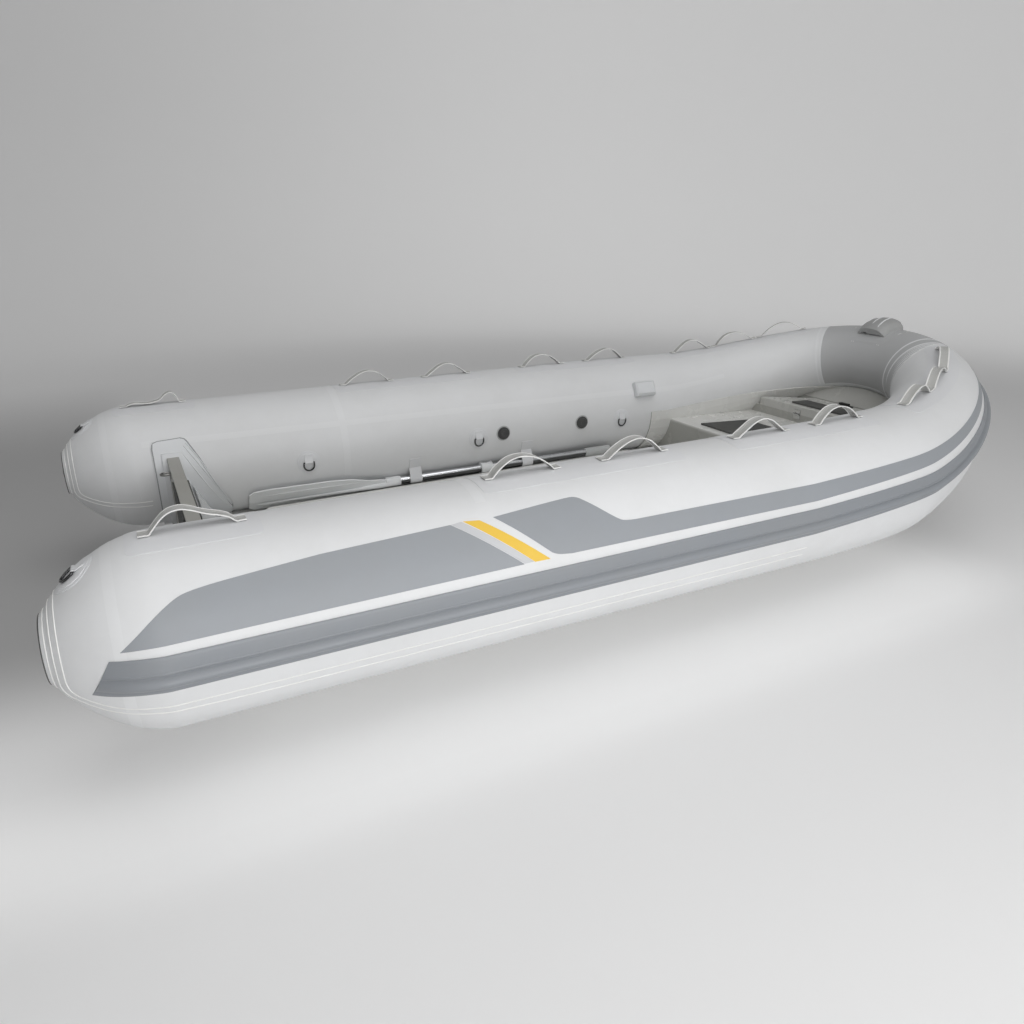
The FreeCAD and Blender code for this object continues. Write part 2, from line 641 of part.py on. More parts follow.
def plan_block(plan, low, high):
    """Upright block on a symmetrical plan, given as (station, half width) pairs."""
    points = [Vector(at(station), half, low) for station, half in plan]
    points = points + [Vector(at(station), -half, low) for station, half in reversed(plan)]
    return Part.Face(Part.makePolygon(points + points[:1])).extrude(Vector(0, 0, high - low))


def inboard_plan(start, end, count=10):
    """Plan that reaches the tubes' centreline, which the tubes then trim."""
    plan = []
    for i in range(count + 1):
        station = start + (end - start) * i / count
        plan.append((station, tube_inside(station, size["tube_height"]) + 0.6 * size["bow_radius"]))
    return plan


def liner_flange():
    """Thin wall that follows the tubes' inner face from the liner's lead to the bow."""
    start = at(size["step_start"] - size["liner_lead"])
    foot = size["liner_foot_angle"]
    sections = []
    for run in [run for run in curve_stations() if start - 2 * size["lid_pad_lead"] < centre(run).x]:
        turned = (centre(run).x - start) / (at(bow_station) - start)
        top = size["liner_top_angle"] + size["liner_top_climb"] * max(0, turned) ** 3
        ring = seat(run, top, foot, 6, size["skin_gap"] + size["liner_thickness"])
        ring = ring + seat(run, foot, top, 6, size["skin_gap"])
        sections.append(Part.makePolygon(ring + ring[:1]))
    return Part.makeLoft(sections, True, True)


def locker_well(grow=0):
    start = size["locker_start"] + size["well_wall"]
    half = size["well_width"] / 2 + grow
    return box_between((at(start) - grow, -half, size["well_floor"] - grow),
                       (at(start + size["well_length"]) + grow, half, size["locker_height"]))


def below_deck():
    """Everything under the hull's upper face, which the deck moulding lies on."""
    sections = [hull_section(transom_fore())] + [hull_section(run) for run in chine_runs()]
    tops = [(wire.Vertexes[0].X, max(corner.Z for corner in wire.Vertexes)) for wire in sections]
    tops = tops + [(at(bow_station), tops[-1][1] + 60)]
    wide = size["tube_offset"] + size["tube_radius"]
    aft, fore = tops[0][0] - 50, tops[-1][0]
    points = [Vector(x, -wide, z) for x, z in tops] + [Vector(fore, -wide, -50), Vector(aft, -wide, -50)]
    points = points + [Vector(aft, -wide, tops[0][1])]
    return closed_face(points).extrude(Vector(0, 2 * wide, 0))


def bow_apron():
    """Slope of the deck moulding from the lid's front edge up to the bow tube."""
    start, end = at(size["locker_end"] + size["lid_gap"]), at(bow_station) - size["bow_radius"] * 0.58
    low, top = size["well_floor"], centre(bow_run).z - size["bow_radius"] * 0.8
    corners = [Vector(start, 0, low), Vector(start, 0, size["locker_height"]), Vector(end, 0, top),
               Vector(at(bow_station), 0, top), Vector(at(bow_station), 0, low)]
    wedge = closed_face(corners).extrude(Vector(0, size["lid_front_width"] * 0.8, 0))
    return fused(both_sides(wedge))


def aft_edge(block, station, height):
    """The edge across a block at this station and height."""
    return [edge for edge in block.Edges
            if all(abs(end.X - at(station)) < 0.1 and abs(end.Z - height) < 0.1 for end in edge.Vertexes)]


def deck_liner():
    sole_low = size["deck_height"] - size["sole_thickness"]
    half = size["tube_offset"] - size["deck_bite"]
    lap = size["sole_thickness"] * 4
    plan = ((transom_fore(), half), (size["step_start"] + lap, half))
    sole = plan_block(plan, sole_low, size["deck_height"])
    plan = inboard_plan(size["step_start"], size["locker_start"] + 1)
    step = plan_block(plan, sole_low, size["step_height"])
    step = step.makeFillet(size["step_edge"], aft_edge(step, size["step_start"], size["step_height"]))
    locker_top = size["locker_height"] - size["lid_skirt"]
    locker = plan_block(inboard_plan(size["locker_start"], size["locker_end"] + lap), sole_low, locker_top)
    body = sole.multiFuse([step, locker, bow_apron()])
    body = cut_by_tube(body, size["skin_gap"] + size["liner_thickness"] / 2)
    body = body.cut(below_deck())
    body = body.fuse(liner_flange())
    return body.cut(locker_well())


def hull_bottom():
    wide, high = size["tube_offset"], centre(bow_run).z
    low = high - 1.22 * size["bow_radius"]
    slab = box_between((at(size["locker_end"]), -wide, low), (at(bow_station), wide, high))
    flange_room = tube_body(size["liner_thickness"] + 2 * size["skin_gap"])[1].common(slab)
    body = cut_by_tube(hull_body(), size["skin_gap"]).cut(flange_room)
    body = body.cut(locker_well(size["liner_thickness"]))
    rim = size["locker_height"] - size["lid_skirt"]
    return body.cut(plan_block(lid_plan(-size["lid_gap"]), rim, rim + 2 * size["lid_skirt"]))


def step_pad():
    low, start = size["step_height"], size["step_start"] + size["pad_lead"]
    return plan_block(((start, size["pad_aft_half"]), (start + size["pad_length"], size["pad_fore_half"])),
                      low, low + size["pad_thickness"])


# Bow locker lid and its hinges

def lid_plan(inset=0):
    half = tube_inside(size["locker_start"], size["locker_height"])
    half = half - size["liner_thickness"] - size["lid_gap"]
    front = size["lid_front_width"] / 2
    return ((size["locker_start"] + inset, half - inset), (size["locker_end"] - inset, front - inset))


def bow_locker_lid():
    low, top = size["locker_height"] - size["lid_skirt"] + size["lid_rest"], size["locker_height"]
    shell = plan_block(lid_plan(), low, top)
    rim = [edge for edge in shell.Edges if all(abs(end.Z - top) < 0.1 for end in edge.Vertexes)]
    shell = shell.makeFillet(size["lid_edge"], rim)
    return shell.cut(plan_block(lid_plan(size["lid_thickness"]), low - 1, top - size["lid_thickness"]))


def lid_pad():
    low, start = size["locker_height"], size["locker_start"] + size["lid_pad_lead"]
    aft, fore = size["lid_pad_half"], size["lid_pad_half"] * 0.92
    plan = ((start, aft), (start + size["lid_pad_length"], fore))
    return plan_block(plan, low, low + size["pad_thickness"])


def lid_latch():
    low, half = size["locker_height"], size["latch_half"]
    start = size["locker_end"] - size["latch_lead"]
    end = start + size["latch_length"]
    face = low + size["latch_plate"]
    plate = box_between((at(start), -half, low), (at(end), half, face))
    rim = size["latch_length"] * 0.27
    top = face + size["latch_grip"]
    grip = box_between((at(start) + rim, rim - half, face), (at(end) - rim, half - rim, top))
    return fused([plate, grip])


def pin_height():
    return size["locker_height"] - size["lid_skirt"]


def hinge_part(offset, upper):
    """Half of one hinge: its leaf and the knuckles that ring the pin."""
    face = at(size["locker_start"]) - size["hinge_play"]
    x, z = at(size["locker_start"]) - size["hinge_knuckle"] / 2, pin_height()
    half, third, play = size["hinge_width"] / 2, size["hinge_width"] / 3, size["hinge_play"]
    spans = [(third - half + play, half - third - play)]
    if upper:
        spans = [(-half, third - half), (half - third, half)]
    rise = 1 if upper else -1
    web = z + rise * size["hinge_web"]
    pieces = []
    for low, high in spans:
        foot = Vector(x, offset + low, z)
        pieces.append(Part.makeCylinder(size["hinge_knuckle"] / 2, high - low, foot, Vector(0, 1, 0)))
        pieces.append(box_between((x, offset + low, min(z, web)), (face, offset + high, max(z, web))))
    near, far = z + rise * (size["hinge_knuckle"] / 2 + size["lid_rest"]), z + rise * size["hinge_leaf"]
    pieces.append(box_between((face - size["hinge_plate"], offset - half, min(near, far)),
                              (face, offset + half, max(near, far))))
    body = fused(pieces)
    reach = size["hinge_pin"] / 2 + (size["pin_play"] if upper else 0)
    pin = Part.makeCylinder(reach, size["hinge_width"], Vector(x, offset - half, z), Vector(0, 1, 0))
    return body.cut(pin) if upper else fused([body, pin])


def lid_hinges(upper):
    offset = size["hinge_offset"]
    return Part.makeCompound([hinge_part(offset, upper), hinge_part(-offset, upper)])


# Transom and its holders

def transom_board():
    body = doc.addObject("PartDesign::Body", "transom_blank")
    sketch = body.newObject("Sketcher::SketchObject", "transom_outline")
    plane = [f for f in body.Origin.OriginFeatures if f.Role == "YZ_Plane"][0]
    sketch.AttachmentSupport = (plane, [""])
    sketch.MapMode = "FlatFace"
    side = "Dims.tube_offset - Dims.deck_bite"
    low = "Dims.tube_height - Dims.tube_radius - Dims.chine_edge / 2"
    keel = "Dims.keel_width / 2"
    outline(sketch, ((f"-{keel}", "Dims.guard_thickness"), (keel, "Dims.guard_thickness"),
                     (side, low), (side, "Dims.transom_height"),
                     (f"-({side})", "Dims.transom_height"), (f"-({side})", low)))
    pad = body.newObject("PartDesign::Pad", "transom_pad")
    pad.Profile = sketch
    bind(pad, Length="Dims.transom_thickness")
    bind(body, X="Dims.transom_station - Dims.overall_length / 2")
    through = "Dims.transom_station + 2 * Dims.transom_thickness"
    cutters = []
    for name, sign in (("transom_relief_port", ""), ("transom_relief_stbd", "-")):
        relief = doc.addObject("Part::Cylinder", name)
        relief.Placement = Placement(Vector(0, 0, 0), Rotation(Vector(0, 1, 0), 90))
        bind(relief, Radius="Dims.tube_radius + Dims.holder_thickness + 2 * Dims.skin_gap", Height=through,
             X="-Dims.overall_length / 2", Y=f"{sign}Dims.tube_offset", Z="Dims.tube_height")
        cutters.append(relief)
    drain = doc.addObject("Part::Cylinder", "drain_bore")
    drain.Placement = Placement(Vector(0, 0, 0), Rotation(Vector(0, 1, 0), 90))
    bind(drain, Radius="Dims.drain_radius", Height=through, X="-Dims.overall_length / 2", Y="0",
         Z="Dims.deck_height + Dims.drain_radius + Dims.drain_rise")
    cutters.append(drain)
    whole = body
    for i, cutter in enumerate(cutters):
        cut = doc.addObject("Part::Cut", f"transom_cut_{i}")
        cut.Base = whole
        cut.Tool = cutter
        whole = cut
    return keep(whole, "transom_board")


def engine_pads():
    top = size["transom_height"] - size["engine_pad_inset"]
    low = top - size["engine_pad_depth"]
    half, thick = size["engine_pad_width"] / 2, size["engine_pad_thickness"]
    aft, fore = at(size["transom_station"]), at(transom_fore())
    outside = box_between((aft - thick, -half, low), (aft, half, top))
    inside = box_between((fore, -half, low + half / 10), (fore + thick, half, top))
    return Part.makeCompound([outside, inside])


def along_tube(extra, start, end):
    """Cylinder round the side tube's centreline between two stations."""
    foot = Vector(at(start), size["tube_offset"], size["tube_height"])
    return Part.makeCylinder(size["tube_radius"] + extra, end - start, foot, Vector(1, 0, 0))


def side_window(corners, inboard):
    """Block on an outline of (station, height) pairs, from this distance off the centre plane outboard."""
    points = [Vector(at(station), inboard, z) for station, z in corners]
    return closed_face(points).extrude(Vector(0, size["tube_offset"] - inboard, 0))


def transom_holder():
    """Moulded shell on the tube's inner face, with a socket for the transom's end and a slotted knee."""
    gap, thick, middle = size["skin_gap"], size["holder_thickness"], size["tube_height"]
    start, board, fore = size["holder_start"], transom_fore() - gap, transom_fore() + gap
    top_end, foot_end = start + size["holder_top_length"], start + size["holder_foot_length"]
    foot, root = size["deck_height"] + gap, size["deck_height"] - size["socket_lip"]
    toe = max(middle - size["holder_toe"], foot)
    top = middle + size["holder_rise"]
    inboard = size["tube_offset"] - size["tube_radius"] - size["holder_thickness"] - 4 * size["socket_proud"]
    window = side_window(((start, root), (board, root), (board, foot), (foot_end, foot), (foot_end, toe),
                          (top_end, top + size["holder_rake"]), (start, top)), inboard)
    shell = along_tube(gap + thick, start, foot_end).common(window)
    lip, proud = size["socket_lip"], size["socket_proud"]
    aft = size["transom_station"] - gap
    head = size["transom_height"]
    socket = side_window(((aft - lip, root), (board, root), (board, foot), (fore + lip, foot),
                          (fore + lip, head + lip), (aft - lip, head + lip)), inboard)
    collar = along_tube(gap + thick + proud, aft - lip, fore + lip).common(socket)
    collar = collar.cut(box_between((at(aft), inboard - 1, 0), (at(fore), size["tube_offset"], head + gap)))
    knee_face = size["tube_offset"] - size["knee_inboard"]
    knee_top, knee_end = middle + size["knee_top"], fore + size["knee_length"]
    knee = side_window(((fore, foot), (knee_end, foot), (fore + lip, knee_top), (fore, knee_top + lip)),
                       knee_face)
    slot_top, slot_foot = middle - 0.15 * size["holder_toe"], middle - 0.75 * size["holder_toe"]
    slot = side_window(((fore + 1.6 * lip, slot_top), (fore + 2.8 * lip, slot_foot),
                        (fore + 2.8 * lip + size["knee_slot"], slot_foot),
                        (fore + 1.6 * lip + size["knee_slot"], slot_top)), knee_face)
    slot = slot.common(box_between((at(fore), knee_face - 1, 0), (at(knee_end), knee_face + 2 * lip, middle)))
    body = fused([shell, collar, knee.cut(slot)])
    return body.cut(along_tube(gap, start - lip, foot_end + lip))


def transom_eyes():
    """Two eyes on the transom's aft face."""
    height = size["transom_height"] - size["eye_drop"]
    eyes = []
    for offset in (size["eye_offset"], -size["eye_offset"]):
        eye = eye_bolt(size["eye_reach"] * 1.6)
        eye.Placement = Placement(Vector(at(size["transom_station"]), offset, height),
                                  Rotation(Vector(0, 1, 0), Vector(0, 0, -1), Vector(-1, 0, 0), "ZXY"))
        eyes.append(eye)
    return Part.makeCompound(eyes)


# Grab loops, their patches, the bow handle, rings and valves

def loop_middles():
    """Runs of the loops' middles on one side, in the groups that share a patch."""
    pair = size["loop_pair_share"] * size["curve_start"] - size["loop_pair_back"]
    bow_loops = [bow_run - size[name] for name in ("bow_loop_first", "bow_loop_second", "bow_loop_third")]
    return ((size["loop_aft"],),
            (pair - size["loop_pair_half"], pair + size["loop_pair_half"]),
            (size["curve_start"] - size["loop_fourth"], size["curve_start"] + size["loop_fifth"]),
            bow_loops)


def loop_places():
    """Runs of the two feet of each loop on one side."""
    half = size["loop_span"] / 2
    return [(middle - half, middle + half) for group in loop_middles() for middle in group]


def grab_loop(start, end):
    """One arched strap with a flat foot at each end."""
    middle = (start + end) / 2
    at_middle = frame(middle)
    first, last = on_tube(start, 90, 0), on_tube(end, 90, 0)
    span = (last - first).Length
    along = last - first
    along.normalize()
    level = at_middle.Rotation.multVec(Vector(1, 0, 0))
    up = along.cross(level)
    up.normalize()
    up = up if up.z > 0 else -up
    thick, rise, foot = size["loop_thickness"], size["loop_rise"], size["loop_foot"]
    level_line = up.dot(first + last) / 2
    crest = [up.dot(on_tube(run, 90, 0)) for run in (start - foot, start, middle, end, end + foot)]
    lift = max(crest) - level_line + size["patch_thickness"] + 3 * size["skin_gap"]
    place = Placement((first + last) * 0.5 + up * lift, Rotation(along, up.cross(along), up, "XZY"))
    half = span / 2
    arch = []
    for inner in (False, True):
        reach = half - (thick if inner else 0)
        top = rise - (thick if inner else 0)
        turns = [math.pi * i / 16 for i in range(17)]
        row = [Vector(-reach * math.cos(t), 0, thick + (top - thick) * math.sin(t) ** 0.85) for t in turns]
        arch.append(row if not inner else list(reversed(row)))
    outer, inner = arch
    end_foot = half + foot
    points = [Vector(-end_foot, 0, 0), Vector(-end_foot, 0, thick)] + outer
    points = points + [Vector(end_foot, 0, thick), Vector(end_foot, 0, 0), Vector(half - thick, 0, 0)]
    points = points + inner + [Vector(-half + thick, 0, 0)]
    strap = Part.Face(Part.makePolygon(points + points[:1])).extrude(Vector(0, size["loop_width"], 0))
    strap.translate(Vector(0, -size["loop_width"] / 2, 0))
    strap.Placement = place.multiply(strap.Placement)
    return strap


def seam_near(run):
    """The closest seam of the bow tube, or the run itself along the straight side."""
    return min(curve_stations(), key=lambda seam: abs(seam - run)) if run > size["curve_start"] else run


def loop_patch(group):
    """Strip glued along the crest of the tube under a group of loops."""
    reach = size["loop_span"] / 2 + size["patch_margin"]
    start, end = seam_near(group[0] - reach), seam_near(group[-1] + reach)
    seams = [run for run in cone_stations() + curve_stations() if start + 5 < run < end - 5]
    half = size["patch_half_angle"]
    return glued([start] + seams + [end], 90 - half, 90 + half, size["patch_thickness"])


def d_ring(place, patch):
    """Ring in a sheath on its patch: the placement's Z leaves the tube, the ring hangs along Y."""
    wire, half = size["ring_wire"] / 2, size["ring_width"] / 2
    base = size["patch_thickness"] + size["skin_gap"]
    high = base + size["ring_wire"]
    bar = Part.makeCylinder(wire, 2 * half, Vector(-half, 0, high), Vector(1, 0, 0))
    bow = Part.makeTorus(half, wire, Vector(0, 0, high), Vector(0, 0, 1), 0, 360, 180)
    sheath = box_between((-half * 0.7, -half / 2, base), (half * 0.7, half / 3, high + wire + 2))
    ring = fused([sheath, bar, bow])
    ring.Placement = place
    return [patch, ring]


def inner_rings():
    """D-rings on the tube's inner face, hanging down."""
    pieces = []
    start, angle = size["curve_start"], size["ring_angle"]
    half_turn = Placement(Vector(0, 0, 0), Rotation(Vector(0, 0, 1), 180))
    first, second = size["ring_first_share"] * start, size["ring_second_share"] * start
    for run in (first, second, start + size["ring_third"]):
        patch = round_patch(run, angle, size["ring_patch"], size["patch_thickness"])
        pieces = pieces + d_ring(stud(run, angle).multiply(half_turn), patch)
    return Part.makeCompound(pieces)


def stern_ring():
    """Towing ring on the crest of the stern cone, hanging aft."""
    run, angle = size["stern_ring_station"], size["stern_ring_angle"]
    aft = stud(run, angle).multiply(Placement(Vector(0, 0, 0), Rotation(Vector(0, 0, 1), 90)))
    patch = round_patch(run, angle, size["ring_patch"] * 0.9, size["patch_thickness"])
    return Part.makeCompound(d_ring(aft, patch))


def valves():
    pieces = []
    reach, tall = size["valve_radius"], size["valve_height"]
    for run in (size["valve_aft_share"] * size["curve_start"], size["curve_start"] + size["valve_fore"]):
        cap = Part.makeCylinder(reach, tall)
        knob = Part.makeCylinder(reach * 0.7, tall * 0.6, Vector(0, 0, tall))
        body = fused([cap, knob])
        body.Placement = stud(run, size["valve_angle"], size["skin_gap"])
        pieces.append(body)
    return Part.makeCompound(pieces)


def seat_mount():
    half_long, half_wide, tall = size["mount_length"] / 2, size["mount_width"] / 2, size["mount_height"]
    block = box_between((-half_long, -half_wide, 0), (half_long, half_wide, tall))
    rim = [edge for edge in block.Edges if abs(edge.CenterOfMass.z - tall) < 0.1]
    block = block.makeChamfer(tall / 4, rim)
    run = size["curve_start"] + size["mount_fore"]
    block.Placement = stud(run, size["mount_angle"], 3 * size["skin_gap"])
    return block


def bow_handle():
    """Arched moulded grip with overhanging ends, on two legs."""
    place = stud(bow_run, size["handle_angle"], size["patch_thickness"] + 2 * size["skin_gap"])
    half, tall, deep = size["handle_width"] / 2, size["handle_height"], size["handle_depth"]
    outer = ((-1, 0.42), (-0.85, 0.62), (-0.6, 0.83), (-0.3, 0.96), (0, 1))
    under = ((-0.97, 0.27), (-0.78, 0.42), (-0.74, 0.06), (-0.54, 0.06),
             (-0.52, 0.56), (-0.28, 0.68), (0, 0.72))
    top = list(outer) + [(-x, z) for x, z in reversed(outer[:-1])]
    low = list(under) + [(-x, z) for x, z in reversed(under[:-1])]
    points = [Vector(half * x, 0, tall * z) for x, z in top + list(reversed(low))]
    grip = closed_face(points).extrude(Vector(0, deep, 0))
    grip.translate(Vector(0, -deep / 2, 0))
    plate = box_between((-half * 0.8, -deep * 0.6, 0), (half * 0.8, deep * 0.6, tall * 0.08))
    both = fused([grip, plate])
    both.Placement = place
    return both


def handle_patch():
    """Wide patch over the crest of the bow."""
    half = size["handle_patch_half"]
    seams = seams_round(bow_run - half, bow_run + half)
    sheet = glued(seams, size["handle_patch_low"], size["handle_patch_high"], size["patch_thickness"], 12)
    return sheet.common(box_between((0, -half, 0), (size["overall_length"], half, size["overall_length"])))


# Oar, laid along the foot of the tube in two straps

def oar_place():
    away = Rotation(Vector(0, 0, 1), -size["oar_tilt"])
    turn = away.multiply(Rotation(Vector(0, 1, 0), 90))
    return Placement(Vector(at(size["oar_tip"]), size["oar_offset"], size["oar_height"]), turn)


def along_oar(shape):
    shape.Placement = oar_place()
    return shape


def shaft_span():
    """Distances from the blade's tip to the two ends of the bare shaft."""
    start = size["blade_length"] + size["blade_neck"]
    return start, size["oar_end"] - size["oar_tip"] - size["grip_length"]


def oar_shaft():
    start, end = shaft_span()
    return along_oar(Part.makeCylinder(size["oar_radius"], end - start, Vector(0, 0, start)))


def blade_section(along, half_width, camber, thick, ridge):
    """Shallow V across the blade, with a ridge along its middle."""
    edge = thick / 2
    flat = ((ridge, 0), (edge - camber, half_width), (-camber - edge, half_width), (-thick, 0),
            (-camber - edge, -half_width), (edge - camber, -half_width))
    points = [Vector(x, y, along) for x, y in flat]
    return Part.makePolygon(points + points[:1])


def oar_blade():
    half, thick, camber = size["blade_width"] / 2, size["blade_thickness"], size["blade_camber"]
    wide, neck, socket = size["blade_length"], size["blade_neck"], size["socket_radius"]
    root = wide + neck
    rows = ((0, 0.72, 0.6, 0.4), (0.05 * wide, 0.94, 0.8, 0.8), (0.2 * wide, 1, 1, 1.2),
            (0.8 * wide, 0.93, 1, 2), (wide, 0.8, 0.8, 2.6), (wide + 0.35 * neck, 0.46, 0.4, 3.2),
            (root - 2 * socket, 0.3, 0, 3.6))
    sections = []
    for along, share, bend, ridge in rows:
        sections.append(blade_section(along, half * share, camber * bend, thick, thick * ridge))
    blade = Part.makeLoft(sections, True, True)
    sleeve = Part.makeCylinder(socket, 3 * socket, Vector(0, 0, root - 3 * socket))
    blade = fused([blade, sleeve])
    lean = math.degrees(math.atan2(size["oar_drop"], size["tube_offset"] - size["oar_offset"]))
    blade.Placement = oar_place().multiply(Placement(Vector(0, 0, 0), Rotation(Vector(0, 0, 1), lean - 90)))
    return blade


def oar_grip():
    grip = Part.makeCylinder(size["grip_radius"], size["grip_length"], Vector(0, 0, shaft_span()[1]))
    return along_oar(grip.makeFillet(size["grip_radius"] / 4, [edge for edge in grip.Edges if edge.Closed]))


def oar_collar():
    """Flanged sleeve with a hole for the rowing pin."""
    start, end = shaft_span()
    low = start + size["collar_share"] * (end - start) - size["collar_length"] / 2
    reach, flange = size["collar_radius"], size["collar_length"] / 10
    long = size["collar_length"]
    foot, rim = Vector(0, 0, low), reach + flange / 2
    body = fused([Part.makeCylinder(reach, long, foot), Part.makeCylinder(rim, flange, foot),
                  Part.makeCylinder(rim, flange, Vector(0, 0, low + long - flange))])
    body = body.cut(Part.makeCylinder(size["oar_radius"] + size["skin_gap"] / 2, long, foot))
    hole = Part.makeCylinder(long / 10, 2 * reach, Vector(0, 0, low + long / 2), Vector(-1, 0, 0))
    return along_oar(body.cut(hole))


def strap_section(station):
    """Outline of a strap: two tails on the tube and a bend round the shaft."""
    share = station - size["oar_tip"]
    shaft = oar_place().multVec(Vector(0, 0, share))
    to_tube = Vector(0, size["tube_offset"] - shaft.y, size["tube_height"] - shaft.z)
    reach = to_tube.Length
    to_tube.normalize()
    beside = to_tube.cross(Vector(1, 0, 0))
    gap, thick = size["skin_gap"], size["strap_thickness"]
    rows = []
    for outside in (True, False):
        skin = gap + thick if outside else gap
        bend = size["oar_radius"] + skin
        height = size["tube_radius"] + skin + (0 if outside else gap / 4)
        turns = [math.radians(turn) for turn in STRAP_TAIL]
        tail = [(reach - height * math.cos(turn), height * math.sin(turn)) for turn in turns]
        leave = math.atan2(tail[-1][1], tail[-1][0]) + math.acos(bend / math.hypot(*tail[-1]))
        step = (math.pi - leave) / 5
        corner = bend / math.cos(step / 2)
        wrap = [(corner * math.cos(leave + step * i), corner * math.sin(leave + step * i)) for i in range(11)]
        rows.append(tail + wrap + [(a, -b) for a, b in reversed(tail)])
    flat = rows[0] + list(reversed(rows[1]))
    points = [Vector(at(station), shaft.y, shaft.z) + to_tube * a + beside * b for a, b in flat]
    return Part.makePolygon(points + points[:1])


def oar_straps():
    start, end = (size["oar_tip"] + place for place in shaft_span())
    half = size["strap_width"] / 2
    pieces = []
    for middle in (start + size["strap_lead"] + half, start + size["strap_share"] * (end - start)):
        pieces.append(Part.makeLoft([strap_section(middle - half), strap_section(middle + half)], True, True))
    return Part.makeCompound(pieces)


# The build

port_tube = tube_side()
starboard(port_tube, "tube_stbd")
feature("tube_bow", tube_body()[1])
starboard(feature("stern_cone_port", stern_cone()), "stern_cone_stbd")
port_cap = end_cap()
starboard(port_cap, "end_cap_stbd")
starboard(feature("rub_strake_port", strake_side()), "rub_strake_stbd")
feature("rub_strake_bow", strake_bow())
feature("hull_bottom", hull_bottom())
feature("keel_guard", keel_guard())
feature("bow_eye", bow_eye())
feature("deck_liner", deck_liner())
feature("step_pad", step_pad())
feature("bow_locker_lid", bow_locker_lid())
feature("lid_pad", lid_pad())
feature("lid_latch", lid_latch())
feature("lid_hinges_upper", lid_hinges(True))
feature("lid_hinges_lower", lid_hinges(False))
transom_board()
feature("engine_pads", engine_pads())
feature("transom_eyes", transom_eyes())
feature("bow_handle", bow_handle())
feature("bow_handle_patch", handle_patch())
for label, shape in (("transom_holder", transom_holder()),
                     ("grab_loops", Part.makeCompound([grab_loop(a, b) for a, b in loop_places()])),
                     ("loop_patches", Part.makeCompound([loop_patch(group) for group in loop_middles()])),
                     ("inner_rings", inner_rings()),
                     ("valves", valves()),
                     ("seat_mount", seat_mount()),
                     ("stern_ring", stern_ring()),
                     ("oar_shaft", oar_shaft()),
                     ("oar_blade", oar_blade()),
                     ("oar_grip", oar_grip()),
                     ("oar_collar", oar_collar()),
                     ("oar_straps", oar_straps())):
    starboard(feature(f"{label}_port", shape), f"{label}_stbd")

doc.recompute()
for obj in doc.Objects:
    if "Invalid" in obj.State or "Error" in obj.State:
        raise RuntimeError(f"{obj.Label} did not compute: {obj.State}")
os.makedirs("parts", exist_ok=True)
for obj in parts:
    if obj.Shape.isNull() or not obj.Shape.isValid():
        raise RuntimeError(f"{obj.Label} has no valid shape")
    obj.Shape.exportStep(f"parts/{obj.Label}.step")
    print(obj.Label, len(obj.Shape.Solids), "solids", f"{obj.Shape.Volume / 1e6:.2f} dm3")
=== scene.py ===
# %% [markdown]
# Rigid inflatable boat, dressed for a picture.
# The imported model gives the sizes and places. This file adds what a moulder, a welder of coated
# fabric and a sewer of webbing add: smooth air tubes, glued seams, coloured panels, woven loops.
# Everything is in metres. X points to the bow, Y to port, Z up.

# %% Load the frame
import math

import bmesh
import bpy
from mathutils import Matrix, Vector


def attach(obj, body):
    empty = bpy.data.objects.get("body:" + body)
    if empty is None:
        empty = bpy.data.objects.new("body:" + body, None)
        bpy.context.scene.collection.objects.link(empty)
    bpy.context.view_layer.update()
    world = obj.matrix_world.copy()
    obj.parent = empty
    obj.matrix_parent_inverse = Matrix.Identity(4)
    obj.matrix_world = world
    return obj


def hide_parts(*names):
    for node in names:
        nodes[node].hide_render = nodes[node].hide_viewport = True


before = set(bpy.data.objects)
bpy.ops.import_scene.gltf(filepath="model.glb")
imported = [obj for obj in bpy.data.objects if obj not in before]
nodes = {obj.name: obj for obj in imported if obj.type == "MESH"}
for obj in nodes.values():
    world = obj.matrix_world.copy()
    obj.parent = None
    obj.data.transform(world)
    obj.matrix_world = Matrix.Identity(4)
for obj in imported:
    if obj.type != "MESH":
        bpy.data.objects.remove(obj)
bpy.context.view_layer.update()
scene = bpy.context.scene

# %% [markdown]
# The camera stands where the photographer stood: behind the near stern cone, at eye height.
# Its place and turn were solved from the outlines of the tubes, so they are numbers, not a guess.
# The tilt is small but matters, because the tube is long and a degree moves the bow a lot.

# %% Camera
CAMERA_SPOT = Vector((-1.643, -2.661, 1.355))
CAMERA_YAW, CAMERA_PITCH, CAMERA_ROLL = 0.46268, 0.35986, -0.01124
FOCAL_PIXELS, FRAME_PIXELS, SENSOR = 777.59, 1024, 36.0


def add_camera():
    ahead = Vector((math.sin(CAMERA_YAW) * math.cos(CAMERA_PITCH),
                    math.cos(CAMERA_YAW) * math.cos(CAMERA_PITCH), -math.sin(CAMERA_PITCH)))
    right = Vector((math.cos(CAMERA_YAW), -math.sin(CAMERA_YAW), 0))
    above = right.cross(ahead)
    c, s = math.cos(CAMERA_ROLL), math.sin(CAMERA_ROLL)
    right, above = right * c + above * s, above * c - right * s
    turn = Matrix((right, above, -ahead)).transposed()
    lens = bpy.data.cameras.new("camera")
    lens.sensor_width = SENSOR
    lens.lens = SENSOR * FOCAL_PIXELS / FRAME_PIXELS
    camera = bpy.data.objects.new("camera", lens)
    camera.matrix_world = Matrix.Translation(CAMERA_SPOT) @ turn.to_4x4()
    scene.collection.objects.link(camera)
    scene.camera = camera
    return camera


camera = add_camera()
print("camera lens", round(camera.data.lens, 3), "mm")

# %% [markdown]
# Helpers for shader nodes. A finish is a Principled shader plus a few groups that vary it.
# Writing node, input and link by name keeps each finish readable as a short recipe.

# %% Node helpers
FLOAT, COLOUR, VECTOR = "NodeSocketFloat", "NodeSocketColor", "NodeSocketVector"
